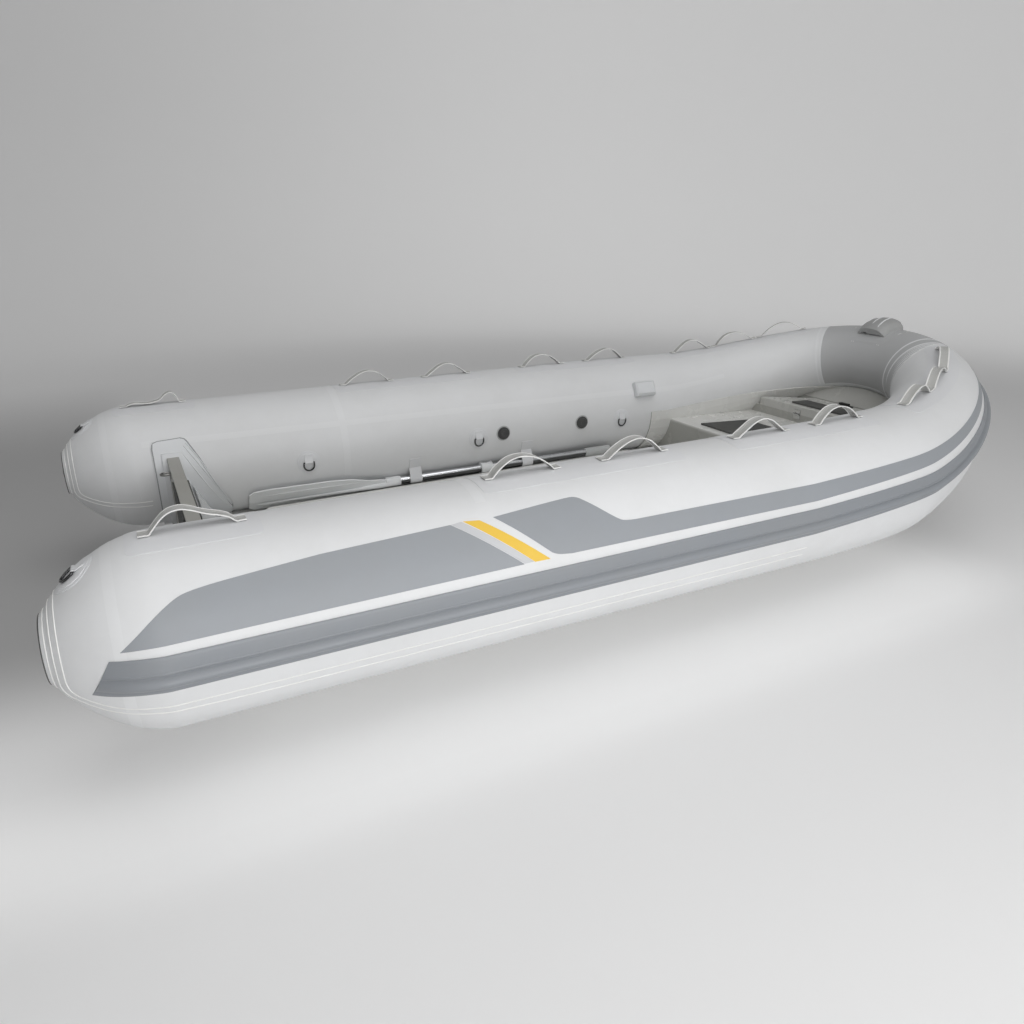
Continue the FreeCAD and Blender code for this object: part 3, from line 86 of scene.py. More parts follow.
# The Mix node has inputs for each kind of data: these are its share and its two colours
MIX_SHARE, MIX_FIRST, MIX_SECOND, MIX_RESULT = 0, 6, 7, 2


def srgb(red, green, blue):
    """A colour as it is seen, 0 to 255, turned into the light values that shaders want."""
    def light(v):
        v = v / 255
        return v / 12.92 if v <= 0.04045 else ((v + 0.055) / 1.055) ** 2.4
    return (light(red), light(green), light(blue), 1)


def add_node(tree, kind, **settings):
    node = tree.nodes.new(kind)
    for name, value in settings.items():
        setattr(node, name, value)
    return node


def feed(socket, value):
    """Give an input a plain value, or link it to the output of another node."""
    if hasattr(value, "links"):
        socket.id_data.links.new(value, socket)
    else:
        socket.default_value = value


def set_inputs(node, **values):
    for name, value in values.items():
        feed(node.inputs[name.replace("_", " ")], value)
    return node


def math_node(tree, operation, *values, clamp=False):
    """One step of arithmetic on numbers or on the outputs of other nodes."""
    node = add_node(tree, "ShaderNodeMath", operation=operation, use_clamp=clamp)
    for socket, value in zip(node.inputs, values):
        feed(socket, value)
    return node.outputs[0]


def mix_colours(tree, share, first, second, blend="MIX"):
    node = add_node(tree, "ShaderNodeMix", data_type="RGBA", blend_type=blend)
    for place, value in ((MIX_SHARE, share), (MIX_FIRST, first), (MIX_SECOND, second)):
        feed(node.inputs[place], value)
    return node.outputs[MIX_RESULT]


def tint(tree, colour, tone):
    """A colour made lighter or darker by a number."""
    grey = set_inputs(add_node(tree, "ShaderNodeCombineColor"), Red=tone, Green=tone, Blue=tone)
    return mix_colours(tree, 1.0, colour, grey.outputs["Color"], "MULTIPLY")


def noise(tree, place, **settings):
    """Cloudy noise at a place, as a number from 0 to 1."""
    return set_inputs(add_node(tree, "ShaderNodeTexNoise"), Vector=place, **settings).outputs["Fac"]


def ramp_node(tree, value, start, end, low=0.0, high=1.0, shape="LINEAR"):
    """A number that goes from low to high while a value goes from start to end."""
    node = add_node(tree, "ShaderNodeMapRange", interpolation_type=shape)
    set_inputs(node, Value=value, From_Min=start, From_Max=end, To_Min=low, To_Max=high)
    return node.outputs["Result"]


def split_axes(tree, vector):
    return set_inputs(add_node(tree, "ShaderNodeSeparateXYZ"), Vector=vector).outputs


def new_group(name, inputs, outputs):
    """Empty shader group: inputs are (name, type, value), outputs are (name, type)."""
    tree = bpy.data.node_groups.new(name, "ShaderNodeTree")
    for label, kind, value in inputs:
        socket = tree.interface.new_socket(label, in_out="INPUT", socket_type=kind)
        if value is not None:
            socket.default_value = value
    for label, kind in outputs:
        tree.interface.new_socket(label, in_out="OUTPUT", socket_type=kind)
    return tree, tree.nodes.new("NodeGroupInput").outputs, tree.nodes.new("NodeGroupOutput")


def place_group(tree, group, **values):
    return set_inputs(add_node(tree, "ShaderNodeGroup", node_tree=group), **values)


def new_material(name):
    """Empty material: itself, its tree, its shader, and the node that says where a point is."""
    material = bpy.data.materials.new(name)
    material.use_nodes = True
    tree = material.node_tree
    return material, tree, tree.nodes["Principled BSDF"], add_node(tree, "ShaderNodeTexCoord")


def add_relief(tree, shader, height, strength, depth):
    relief = set_inputs(add_node(tree, "ShaderNodeBump"), Strength=strength, Distance=depth, Height=height)
    set_inputs(shader, Normal=relief.outputs["Normal"])

# %% [markdown]
# Coated fabric is a woven cloth under a skin of plastic. Close up the weave shows as a fine
# grid of soft bumps; from further off there is only a slow mottling, where the coating is a
# little thicker or the fabric has been handled. One group gives both.

# %% Group: coated fabric
WAVES_PER_THREAD = 0.32


def build_coated_fabric():
    tree, given, sink = new_group(
        "coated_fabric",
        (("Place", VECTOR, None), ("Thread", FLOAT, 0.0016), ("Mottle", FLOAT, 0.03)),
        (("Tone", FLOAT), ("Height", FLOAT), ("Roughness", FLOAT)))
    scale = math_node(tree, "DIVIDE", 1.0, given["Thread"])
    waves = []
    for direction in ("X", "Y"):
        wave = add_node(tree, "ShaderNodeTexWave", bands_direction=direction)
        pitch = math_node(tree, "MULTIPLY", scale, WAVES_PER_THREAD)
        set_inputs(wave, Vector=given["Place"], Scale=pitch, Distortion=0.6, Detail=1.0)
        waves.append(wave.outputs["Fac"])
    weave = math_node(tree, "MULTIPLY", *waves)
    cloud = noise(tree, given["Place"], Scale=3.1, Detail=5.0, Roughness=0.62)
    rub = noise(tree, given["Place"], Scale=26.0, Detail=4.0, Roughness=0.7)
    drift = math_node(tree, "SUBTRACT", cloud, 0.5)
    fine = math_node(tree, "MULTIPLY", math_node(tree, "SUBTRACT", rub, 0.5), 0.5)
    both = math_node(tree, "ADD", drift, fine)
    tone = math_node(tree, "ADD", 1.0, math_node(tree, "MULTIPLY", both, given["Mottle"]))
    height = math_node(tree, "ADD", weave, math_node(tree, "MULTIPLY", rub, 0.8))
    set_inputs(sink, Tone=tone, Height=height, Roughness=math_node(tree, "MULTIPLY", both, 0.16))
    return tree


coated_fabric = build_coated_fabric()
print("group", coated_fabric.name)

# %% [markdown]
# Dust and handling marks gather everywhere on a boat that has been moved about a workshop.
# The group mixes a warm grey film into a colour, more in some patches than others, and
# says how much rougher the film makes the surface.

# %% Group: dust film
DUST_COLOUR = srgb(150, 147, 138)


def build_dust_film():
    tree, given, sink = new_group(
        "dust_film",
        (("Colour", COLOUR, (0.8, 0.8, 0.8, 1)), ("Dust", COLOUR, DUST_COLOUR),
         ("Amount", FLOAT, 0.15), ("Size", FLOAT, 2.5), ("Place", VECTOR, None)),
        (("Colour", COLOUR), ("Film", FLOAT)))
    cloud = noise(tree, given["Place"], Scale=given["Size"], Detail=6.0, Roughness=0.68)
    film = math_node(tree, "MULTIPLY", ramp_node(tree, cloud, 0.46, 0.78), given["Amount"])
    set_inputs(sink, Colour=mix_colours(tree, film, given["Colour"], given["Dust"]), Film=film)
    return tree


dust_film = build_dust_film()
print("group", dust_film.name)

# %% [markdown]
# Moulded plastic and gelcoat have a faint orange peel, and polished or painted faces carry
# hairline scratches. Both are heights for a Bump node, and the scratches also dull the gloss.

# %% Group: moulded surface
SCRATCH_TURN, SCRATCH_STRETCH = (0.3, 0.5, 0.7), (9.0, 160.0, 90.0)


def build_moulded_surface():
    tree, given, sink = new_group(
        "moulded_surface",
        (("Place", VECTOR, None), ("Grain", FLOAT, 220.0), ("Scratch", FLOAT, 0.4), ("Mottle", FLOAT, 0.04)),
        (("Tone", FLOAT), ("Height", FLOAT), ("Roughness", FLOAT)))
    peel = noise(tree, given["Place"], Scale=given["Grain"], Detail=3.0, Roughness=0.55)
    stretch = add_node(tree, "ShaderNodeMapping")
    set_inputs(stretch, Vector=given["Place"], Rotation=SCRATCH_TURN, Scale=SCRATCH_STRETCH)
    hair = noise(tree, stretch.outputs["Vector"], Scale=1.0, Detail=4.0, Roughness=0.75)
    marks = math_node(tree, "MULTIPLY", ramp_node(tree, hair, 0.62, 0.72), given["Scratch"])
    cloud = noise(tree, given["Place"], Scale=5.0, Detail=5.0, Roughness=0.6)
    drift = math_node(tree, "SUBTRACT", cloud, 0.5)
    tone = math_node(tree, "ADD", 1.0, math_node(tree, "MULTIPLY", drift, given["Mottle"]))
    height = math_node(tree, "SUBTRACT", peel, marks)
    scratched, patchy = math_node(tree, "MULTIPLY", marks, 0.3), math_node(tree, "MULTIPLY", drift, 0.2)
    set_inputs(sink, Tone=tone, Height=height, Roughness=math_node(tree, "ADD", scratched, patchy))
    return tree


moulded_surface = build_moulded_surface()
print("group", moulded_surface.name)

# %% [markdown]
# A finish is then one call: which grain it has, its colour, gloss and dust.
# The tone from the grain multiplies the colour, and the dust goes over both.

# %% Finishes
FABRIC_GLOSS, FABRIC_RELIEF, FABRIC_DEPTH, MOULDED_DEPTH = 0.46, 0.25, 0.0003, 0.0004
COAT_GLOSS, DUST_DULLS = 0.12, 0.4


def finish(name, colour, grain, rough, bump, depth, dust, metal=0.0, coat=0.0, by_uv=False, facing=None,
           **grain_values):
    """Material with one grain group, a dust film and a bump. The facing shade is (colour, axis, start,
    end): a painted shade, the colour of the faces whose normal along that axis goes from start to end."""
    material, tree, shader, where = new_material(name)
    texture = place_group(tree, grain, Place=where.outputs["UV" if by_uv else "Object"], **grain_values)
    tinted = tint(tree, srgb(*colour), texture.outputs["Tone"])
    # Painted shade: faces turned one way take the darker colour.
    if facing:
        other, axis, start, end = facing
        turned_to = split_axes(tree, where.outputs["Normal"])[axis]
        tinted = mix_colours(tree, ramp_node(tree, turned_to, start, end), tinted, srgb(*other))
    dusty = place_group(tree, dust_film, Colour=tinted, Amount=dust, Place=where.outputs["Object"])
    dulled = math_node(tree, "MULTIPLY", dusty.outputs["Film"], DUST_DULLS)
    dulled = math_node(tree, "ADD", texture.outputs["Roughness"], dulled)
    set_inputs(shader, Base_Color=dusty.outputs["Colour"], Metallic=metal, Coat_Weight=coat,
               Coat_Roughness=COAT_GLOSS, Roughness=math_node(tree, "ADD", dulled, rough, clamp=True))
    add_relief(tree, shader, texture.outputs["Height"], bump, depth)
    return material


def fabric(name, colour, dust, mottle, by_uv=True):
    return finish(name, colour, coated_fabric, FABRIC_GLOSS, FABRIC_RELIEF, FABRIC_DEPTH, dust, by_uv=by_uv,
                  Mottle=mottle)


def moulded(name, colour, rough, bump, dust, **more):
    return finish(name, colour, moulded_surface, rough, bump, MOULDED_DEPTH, dust, **more)


tube_fabric = fabric("tube_fabric", (228, 229, 230), dust=0.10, mottle=0.05)
seam_tape = fabric("seam_tape", (231, 232, 233), dust=0.05, mottle=0.04)
patch_fabric = fabric("patch_fabric", (226, 227, 229), dust=0.08, mottle=0.05)
grey_fabric = fabric("grey_fabric", (153, 157, 162), dust=0.12, mottle=0.07)
pale_fabric = fabric("pale_grey_fabric", (202, 203, 206), dust=0.08, mottle=0.05)
# Painted shade: a darker copy of the tube fabric, for the shaded inside of the bow and its handle patch.
painted_shade_fabric = fabric("painted_shade_fabric", (186, 187, 188), dust=0.10, mottle=0.06)
yellow_fabric = fabric("yellow_fabric", (237, 196, 72), dust=0.06, mottle=0.05)
bead_fabric = fabric("bead_fabric", (240, 240, 238), dust=0.05, mottle=0.03, by_uv=False)

# Painted shade: the liner's faces turned aft, the foredeck among them, are painted darker.
PAINTED_SHADE_AFT_FACES = ((176, 176, 171), "X", -0.3, -0.9)
# Painted shade: the oar shaft's faces turned down are painted dark, for the dark underside of the chrome.
PAINTED_SHADE_UNDER_FACES = ((92, 93, 94), "Z", 0.40, 0.05)
strake_rubber = moulded("strake_rubber", (142, 146, 151), rough=0.42, bump=0.2, dust=0.2, Scratch=0.5)
gelcoat = moulded("gelcoat", (226, 226, 223), rough=0.26, bump=0.08, dust=0.05, coat=0.35, facing=PAINTED_SHADE_AFT_FACES)
# Painted shade: the locker lid is a darker copy of the liner gelcoat, for the shade on the locker's face.
lid_painted_shade_gelcoat = moulded("lid_painted_shade_gelcoat", (202, 202, 198), rough=0.26, bump=0.08, dust=0.06, coat=0.35)
hull_gelcoat = moulded("hull_gelcoat", (222, 222, 219), rough=0.22, bump=0.08, dust=0.15, coat=0.4)
transom_paint = moulded("transom_paint", (170, 169, 163), rough=0.42, bump=0.15, dust=0.2, Scratch=0.6)
holder_plastic = moulded("holder_plastic", (224, 226, 228), rough=0.4, bump=0.15, dust=0.15)
cap_plastic = moulded("cap_plastic", (80, 81, 82), rough=0.42, bump=0.2, dust=0.2)
guard_rubber = moulded("guard_rubber", (96, 98, 100), rough=0.6, bump=0.3, dust=0.35, Scratch=0.8)
pad_rubber = moulded("pad_rubber", (78, 79, 78), rough=0.75, bump=0.5, dust=0.25, Grain=500.0)
holder_edge = moulded("holder_edge", (150, 152, 154), rough=0.5, bump=0.15, dust=0.15)
valve_plastic = moulded("valve_plastic", (66, 67, 68), rough=0.4, bump=0.15, dust=0.2)
black_plastic = moulded("black_plastic", (34, 34, 35), rough=0.36, bump=0.15, dust=0.15)
handle_plastic = moulded("handle_plastic", (186, 188, 188), rough=0.42, bump=0.2, dust=0.15)
oar_plastic = moulded("oar_plastic", (234, 236, 237), rough=0.38, bump=0.15, dust=0.15)
oar_metal = moulded("oar_metal", (222, 224, 226), rough=0.16, bump=0.05, dust=0.06, metal=1.0,
                    facing=PAINTED_SHADE_UNDER_FACES)
eye_steel = moulded("eye_steel", (150, 150, 148), rough=0.34, bump=0.03, dust=0.1, metal=1.0)
hood_rubber = moulded("hood_rubber", (166, 167, 167), rough=0.5, bump=0.2, dust=0.15)
ring_steel = moulded("ring_steel", (84, 85, 86), rough=0.24, bump=0.03, dust=0.06, metal=1.0)
steel = moulded("stainless_steel", (198, 198, 196), rough=0.2, bump=0.03, dust=0.06, metal=1.0)
print(len(bpy.data.materials), "finishes")

# %% [markdown]
# The air tube is a pipe along a bent line: straight along the sides, round the bow in a
# squarish curve, thinner and higher towards the bow. Every glued thing on it is placed by
# two numbers, how far along the tube it is and how far round. So the tube is written as
# functions, and the skin, the seams, the panels and the loops all use the same ones.

# %% The tube as functions
HALF_LENGTH = 1.925
TUBE_RADIUS, TUBE_OFFSET, TUBE_HEIGHT = 0.245, 0.761, 0.425
CURVE_START, BOW_STATION = 2.213, 3.676012
BOW_REACH = BOW_STATION - CURVE_START
BOW_RADIUS, TAPER_START = 0.160, 2.798
SHEER_START, SHEER_RISE, SHEER_POWER = 2.706, 0.251, 1.84
BOW_FULLNESS, BOW_ROUNDNESS = 2.72, 2.26
CONE_START, CONE_END, CONE_RISE = 0.018, 0.265, 0.009
CONE_SHAPE = ((0.014, 0.080), (0.030, 0.097), (0.045, 0.119), (0.075, 0.151), (0.106, 0.178),
              (0.140, 0.203), (0.177, 0.223), (0.216, 0.237), (0.265, 0.245))
CURVE_STEPS, CURVE_CROWDING, LOOK_ALONG = 1500, 1.4, 0.006
SIDES = (("port", 1), ("stbd", -1))


def bow_curve_point(phase):
    """Centre of the tube on the port side of the bow curve, phase 0 at its start, 1 at the bow."""
    turn = phase * math.pi / 2
    station = CURVE_START + BOW_REACH * math.sin(turn) ** (2 / BOW_FULLNESS)
    y = TUBE_OFFSET * max(math.cos(turn), 0) ** (2 / BOW_ROUNDNESS)
    past = max(0, station - SHEER_START) / (BOW_STATION - SHEER_START)
    return Vector((station - HALF_LENGTH, y, TUBE_HEIGHT + SHEER_RISE * past ** SHEER_POWER))


curve_points = [bow_curve_point((i / CURVE_STEPS) ** CURVE_CROWDING) for i in range(CURVE_STEPS + 1)]
curve_runs = [CURVE_START]
for before, after in zip(curve_points, curve_points[1:]):
    curve_runs.append(curve_runs[-1] + (after - before).length)
BOW_RUN = curve_runs[-1]


def cone_radius(run):
    """Radius of the stern cone, a smooth line through the stations of its profile."""
    knots = CONE_SHAPE
    for i in range(len(knots) - 1):
        (a, low), (b, high) = knots[i], knots[i + 1]
        if run <= b:
            before = knots[i - 1] if i else (a - (b - a), low - 1.3 * (high - low))
            after = knots[i + 2] if i + 2 < len(knots) else (b + (b - a), high)
            step = b - a
            slope_low = (high - before[1]) / (b - before[0])
            slope_high = (after[1] - low) / (after[0] - a) if i + 2 < len(knots) else 0.0
            t = min(max((run - a) / step, 0), 1)
            return (low * (2 * t ** 3 - 3 * t ** 2 + 1) + step * slope_low * (t ** 3 - 2 * t ** 2 + t)
                    + high * (3 * t ** 2 - 2 * t ** 3) + step * slope_high * (t ** 3 - t ** 2))
    return knots[-1][1]


def centre(run):
    """Centre of the tube at a distance along it, on the port side until the bow."""
    if run <= CURVE_START:
        rise = CONE_RISE * (1 - min(max((run - CONE_START) / (CONE_END - CONE_START), 0), 1))
        return Vector((run - HALF_LENGTH, TUBE_OFFSET, TUBE_HEIGHT + rise))
    if run > BOW_RUN:
        point = centre(2 * BOW_RUN - run)
        return Vector((point.x, -point.y, point.z))
    low, high = 0, CURVE_STEPS
    while high - low > 1:
        middle = (low + high) // 2
        low, high = (middle, high) if curve_runs[middle] <= run else (low, middle)
    share = (run - curve_runs[low]) / (curve_runs[high] - curve_runs[low])
    return curve_points[low].lerp(curve_points[high], share)


def radius(run):
    run = min(run, 2 * BOW_RUN - run)
    if run < CONE_END:
        return cone_radius(run)
    station = centre(run).x + HALF_LENGTH
    share = max(0, station - TAPER_START) / (BOW_STATION - TAPER_START)
    return TUBE_RADIUS + (BOW_RADIUS - TUBE_RADIUS) * share


def cross_frame(run):
    """Outboard, up and along directions of the tube's cross-section."""
    along = Vector((1, 0, 0))
    if run > 2 * BOW_RUN - CURVE_START:
        along = Vector((-1, 0, 0))
    elif run > CURVE_START:
        along = (centre(run + LOOK_ALONG) - centre(run - LOOK_ALONG)).normalized()
    outboard = Vector((-along.y, along.x, 0)).normalized()
    return outboard, along.cross(outboard), along


def on_tube(run, angle, height=0.0, side=1):
    """Point on the tube: degrees above its outboard line, at a height off its skin."""
    outboard, above, along = cross_frame(run)
    reach, turn = radius(run) + height, math.radians(angle)
    point = centre(run) + outboard * (reach * math.cos(turn)) + above * (reach * math.sin(turn))
    return Vector((point.x, point.y * side, point.z))


print("tube runs", round(2 * BOW_RUN, 3), "m from cone to cone")

# %% [markdown]
# Making a mesh object is the same few steps each time: points and faces in, shading by
# angle, a finish, a body to ride on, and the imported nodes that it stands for.

# %% Mesh helpers
def add_piece(name, points, faces, material, replaces=(), uvs=None, sharp=35, slot=None):
    """Mesh object from points and faces, with normals made consistent and hard edges kept hard."""
    mesh = bpy.data.meshes.new(name)
    mesh.from_pydata([tuple(p) for p in points], [], faces)
    if uvs:
        layer = mesh.uv_layers.new(name="UVMap")
        for loop in mesh.loops:
            layer.data[loop.index].uv = uvs[loop.vertex_index]
    shape = bmesh.new()
    shape.from_mesh(mesh)
    bmesh.ops.remove_doubles(shape, verts=shape.verts, dist=1e-6)
    bmesh.ops.recalc_face_normals(shape, faces=shape.faces)
    for face in shape.faces:
        face.smooth = True
    for edge in shape.edges:
        if len(edge.link_faces) == 2 and edge.calc_face_angle(0) > math.radians(sharp):
            edge.smooth = False
    shape.to_mesh(mesh)
    shape.free()
    piece = bpy.data.objects.new(name, mesh)
    scene.collection.objects.link(piece)
    mesh.materials.append(material)
    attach(piece, "boat")
    for node in replaces:
        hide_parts(node)
    return piece


def grid_faces(rows, columns, wrap=False, offset=0):
    """Quads between neighbouring rows of points, closed round if wrap is set."""
    faces = []
    for r in range(rows - 1):
        for c in range(columns if wrap else columns - 1):
            d = (c + 1) % columns
            a, b = offset + r * columns, offset + (r + 1) * columns
            faces.append((a + c, a + d, b + d, b + c))
    return faces


def add_sweep(name, points, count, material, closed=False, **more):
    """Piece whose section is swept through count places, with end caps unless it closes on itself."""
    wide = len(points) // count
    last = (count - 1) * wide
    faces = grid_faces(count, wide, wrap=True)
    if closed:
        faces += [(last + k, last + (k + 1) % wide, (k + 1) % wide, k) for k in range(wide)]
    else:
        faces += [tuple(range(wide)), tuple(last + k for k in reversed(range(wide)))]
    return add_piece(name, points, faces, material, **more)


def along_line(spots, i, closed=False):
    """Direction of a line of points at one of them."""
    last = len(spots) - 1
    back = spots[i - 1] if closed or i else spots[0]
    ahead = spots[(i + 1) % len(spots)] if closed or i < last else spots[last]
    return (ahead - back).normalized()


def spread(start, end, step):
    """Evenly spread numbers from start to end, about a step apart."""
    count = max(1, math.ceil(abs(end - start) / step - 1e-9))
    return [start + (end - start) * i / count for i in range(count + 1)]


def flat_place(run, angle):
    """Where a point of the skin lies on the fabric before it is rolled, in metres."""
    return (run, math.radians(angle) * TUBE_RADIUS)

# %% [markdown]
# The skin of the tubes comes first. On the real boat it is cut from sheets, rolled and
# glued, and the pieces meet under tapes. Here each CAD length of tube gets a fine pipe of
# the same size, so its outline is round from any side.

# %% Air tube skins
SKIN_SECTORS, CONE_SHOULDER = 120, 0.05


def skin(name, runs, side, node):
    """Closed pipe along the tube through these runs."""
    spots = [(run, 360 * k / SKIN_SECTORS - 90) for run in runs for k in range(SKIN_SECTORS)]
    points = [on_tube(run, angle, 0, side) for run, angle in spots]
    uvs = [flat_place(*spot) for spot in spots]
    add_sweep(name, points, len(runs), tube_fabric, replaces=[node], uvs=uvs)


cone_runs = spread(CONE_START, CONE_SHOULDER, 0.004) + spread(CONE_SHOULDER, CONE_END, 0.006)[1:]
straight_runs = spread(CONE_END, CURVE_START, 0.06)
bow_runs = spread(CURVE_START, 2 * BOW_RUN - CURVE_START, 0.02)
for side_name, side in SIDES:
    skin(f"stern_cone_skin_{side_name}", cone_runs, side, f"stern_cone_{side_name}")
    skin(f"tube_skin_{side_name}", straight_runs, side, f"tube_{side_name}")
skin("tube_skin_bow", bow_runs, 1, "tube_bow")
print("tube skins:", len(bow_runs), "rings round the bow")

# %% [markdown]
# A glued sheet is a thin solid that lies on the skin: an upper and a lower grid with walls
# round the edge. Its outline is given as columns along the tube, each with a low and a high
# angle, so slanted ends and curved tips come from the numbers alone.

# %% Glued sheets
GLUE_LIFT = 0.0001


def columns_between(lower, upper, step=0.02):
    """Columns (run, low, high) between two edges given as (run, angle) points."""
    def value(line, run):
        for (a, low), (b, high) in zip(line, line[1:]):
            if run <= b + 1e-9:
                return low + (high - low) * (0 if b == a else (run - a) / (b - a))
        return line[-1][1]
    marks = sorted({run for run, angle in lower + upper})
    runs = []
    for a, b in zip(marks, marks[1:]):
        runs = runs + spread(a, b, step)[:-1]
    runs.append(marks[-1])
    return [(run, value(lower, run), max(value(upper, run), value(lower, run) + 0.02)) for run in runs]


def sheet_on_tube(name, columns, material, side=1, thick=0.0006, rows=12, replaces=(), slot=None):
    """Thin solid between the low and high angle of each column."""
    spots = [(run, low + (high - low) * k / rows) for run, low, high in columns for k in range(rows + 1)]
    points = [on_tube(*spot, height, side) for height in (GLUE_LIFT + thick, GLUE_LIFT) for spot in spots]
    count, wide = len(columns), rows + 1
    base = count * wide
    faces = grid_faces(count, wide) + grid_faces(count, wide, offset=base)
    rim = [c * wide for c in range(count)] + [(count - 1) * wide + k for k in range(1, wide)]
    rim = rim + [c * wide + rows for c in reversed(range(count - 1))] + [k for k in reversed(range(1, rows))]
    for i, a in enumerate(rim):
        b = rim[(i + 1) % len(rim)]
        faces.append((a, b, b + base, a + base))
    uvs = [flat_place(*spot) for spot in spots] * 2
    return add_piece(name, points, faces, material, replaces=replaces, uvs=uvs, slot=slot)


def smoothed(line, rounds=3):
    """Corner cutting: each round replaces every inner corner by two nearer points."""
    for _ in range(rounds):
        out = [line[0]]
        for (a, b), (c, d) in zip(line, line[1:]):
            out += [(a * 0.75 + c * 0.25, b * 0.75 + d * 0.25), (a * 0.25 + c * 0.75, b * 0.25 + d * 0.75)]
        line = out + [line[-1]]
    return line

# %% [markdown]
# The coloured panels are sheets of grey fabric glued over the pale tube. Seen from the side
# they make a long wedge aft, a slanted pair of stripes, and a second panel that runs on as a
# band round the bow. The white line under them is bare tube left between panel and strake.

# %% Coloured panels
FIRST_MARK = 0.020
BAND_LOW, BAND_LOW_RISE, BAND_TOP, BAND_TOP_RISE, BAND_STEPS = 16.9, 15.1, 29.9, 10.4, 60


def turned(run):
    """How far round the bow curve a run is, 0 at its start, 1 at the bow, by its station."""
    return max(0, centre(run).x + HALF_LENGTH - CURVE_START) / BOW_REACH


def edge(*marks):
    """An edge from marks: millimetres ahead of the first mark, and degrees above the outboard line."""
    return [(ahead / 1000 + FIRST_MARK, angle) for ahead, angle in marks]


def mirrored(line):
    return [(2 * BOW_RUN - run, angle) for run, angle in reversed(line)]


aft_top = smoothed(edge((157, 16.4), (272, 39.1), (327, 42.8), (471, 45.8)))
aft_top += edge((613, 48.5), (954, 51.3), (1128, 18.2))
SIDE_PANELS = (
    ("aft", grey_fabric, edge((157, 16.2), (500, 16.9), (1128, 17.8)), aft_top),
    ("pale", pale_fabric, edge((957, 51.2), (1131, 18.1), (1158, 18.2)),
     edge((957, 51.3), (986, 52.1), (1158, 18.3))),
    ("yellow", yellow_fabric, edge((991, 52.0), (1161, 17.9), (1207, 17.7)),
     edge((991, 52.1), (1036, 50.9), (1207, 17.9))))
for side_name, side in SIDES:
    for part, cloth, low, top in SIDE_PANELS:
        sheet_on_tube(f"panel_{part}_{side_name}", columns_between(low, top), cloth, side, slot="tube_fabric")

bow_marks = [CURVE_START + (BOW_RUN - CURVE_START) * i / BAND_STEPS for i in range(BAND_STEPS + 1)]
half_top = smoothed(edge((1077, 51.2), (1310, 55.6), (1338, 55.0), (1360, 50.8), (1440, 34.0), (1470, 31.4),
                         (1560, 31.2)), 2)
half_top += [(run, BAND_TOP + BAND_TOP_RISE * turned(run)) for run in bow_marks]
half_low = smoothed(edge((1077, 51.1), (1200, 24.6), (1225, 19.6), (1275, 18.2)), 2)
half_low += [(run, BAND_LOW + BAND_LOW_RISE * turned(run)) for run in bow_marks]
band = columns_between(half_low + mirrored(half_low)[1:], half_top + mirrored(half_top)[1:])
sheet_on_tube("panel_bow", band, grey_fabric, slot="tube_fabric")
print("panels glued on")

# %% [markdown]
# The rub strake is a rubber moulding glued round the tube at its widest. Its upper part is a
# flat band, below it a groove and a thick rounded ridge that takes the knocks, and a thin lip
# finishes its lower edge. It is one profile swept round the boat, and it fades out on the cones.

# %% Rub strake
STRAKE_TOP, STRAKE_BOTTOM, TOP_TURN, BOTTOM_TURN, STRAKE_WIDTH = 11.2, -9.3, 11.9, 16.5, 0.088
STRAKE_START, STRAKE_SLANT, STRAKE_FADE = 0.104, 0.048, 0.110
PROUD, TIP_SHARE, FAN_END = 0.020, 0.22, 0.290
DROOP, DROOP_POWER = 6.8, 1.245
# The profile from the lower edge to the upper: (share of the width, share of the full height)
STRAKE_PROFILE = (
    (0.0, 0.0), (0.0, 0.16), (0.03, 0.24), (0.07, 0.27), (0.11, 0.26), (0.135, 0.24), (0.15, 0.22),
    (0.165, 0.34), (0.185, 0.62), (0.215, 0.84), (0.26, 0.97), (0.30, 1.0), (0.34, 0.97), (0.385, 0.86),
    (0.42, 0.70), (0.445, 0.52), (0.465, 0.36), (0.48, 0.27), (0.50, 0.25), (0.52, 0.27), (0.535, 0.37),
    (0.55, 0.43), (0.565, 0.43), (0.58, 0.38), (0.59, 0.33), (0.70, 0.315), (0.90, 0.30), (0.97, 0.27),
    (1.0, 0.18), (1.0, 0.0))


def strake_edges(run):
    """Lower and upper edge in degrees: on the cone the strake keeps its width and drops a little."""
    low, wide = STRAKE_BOTTOM, STRAKE_TOP - STRAKE_BOTTOM
    if run < CONE_END:
        shrunk = (TUBE_RADIUS - radius(run)) / (TUBE_RADIUS - radius(STRAKE_START))
        low, wide = low - DROOP * max(shrunk, 0) ** DROOP_POWER, wide * TUBE_RADIUS / radius(run)
    return low + BOTTOM_TURN * turned(run), low + wide + TOP_TURN * turned(run)


def sweep_strake(name, runs, side, node):
    """Sweep the profile: near the tip each point of it starts further forward than the one below."""
    points, uvs = [], []
    for run in runs:
        for share, tall in STRAKE_PROFILE:
            spot = run
            if run < FAN_END:
                tip = STRAKE_START + STRAKE_SLANT * share
                spot = tip + (run - STRAKE_START) * (FAN_END - tip) / (FAN_END - STRAKE_START)
            nearest = min(spot, 2 * BOW_RUN - spot)
            grown = min(max((nearest - STRAKE_START) / STRAKE_FADE, 0), 1)
            grown = TIP_SHARE + (1 - TIP_SHARE) * grown * (2 - grown)
            low, high = strake_edges(spot)
            points.append(on_tube(spot, low + (high - low) * share, GLUE_LIFT + PROUD * tall * grown, side))
            uvs.append((spot, share * STRAKE_WIDTH))
    add_sweep(name, points, len(runs), strake_rubber, replaces=[node], uvs=uvs, sharp=40)


strake_runs = spread(STRAKE_START, FAN_END, 0.006) + spread(FAN_END, CURVE_START, 0.05)[1:]
for side_name, side in SIDES:
    sweep_strake(f"strake_{side_name}", strake_runs, side, f"rub_strake_{side_name}")
sweep_strake("strake_bow", bow_runs, 1, "rub_strake_bow")
print("strake swept, profile of", len(STRAKE_PROFILE), "points")
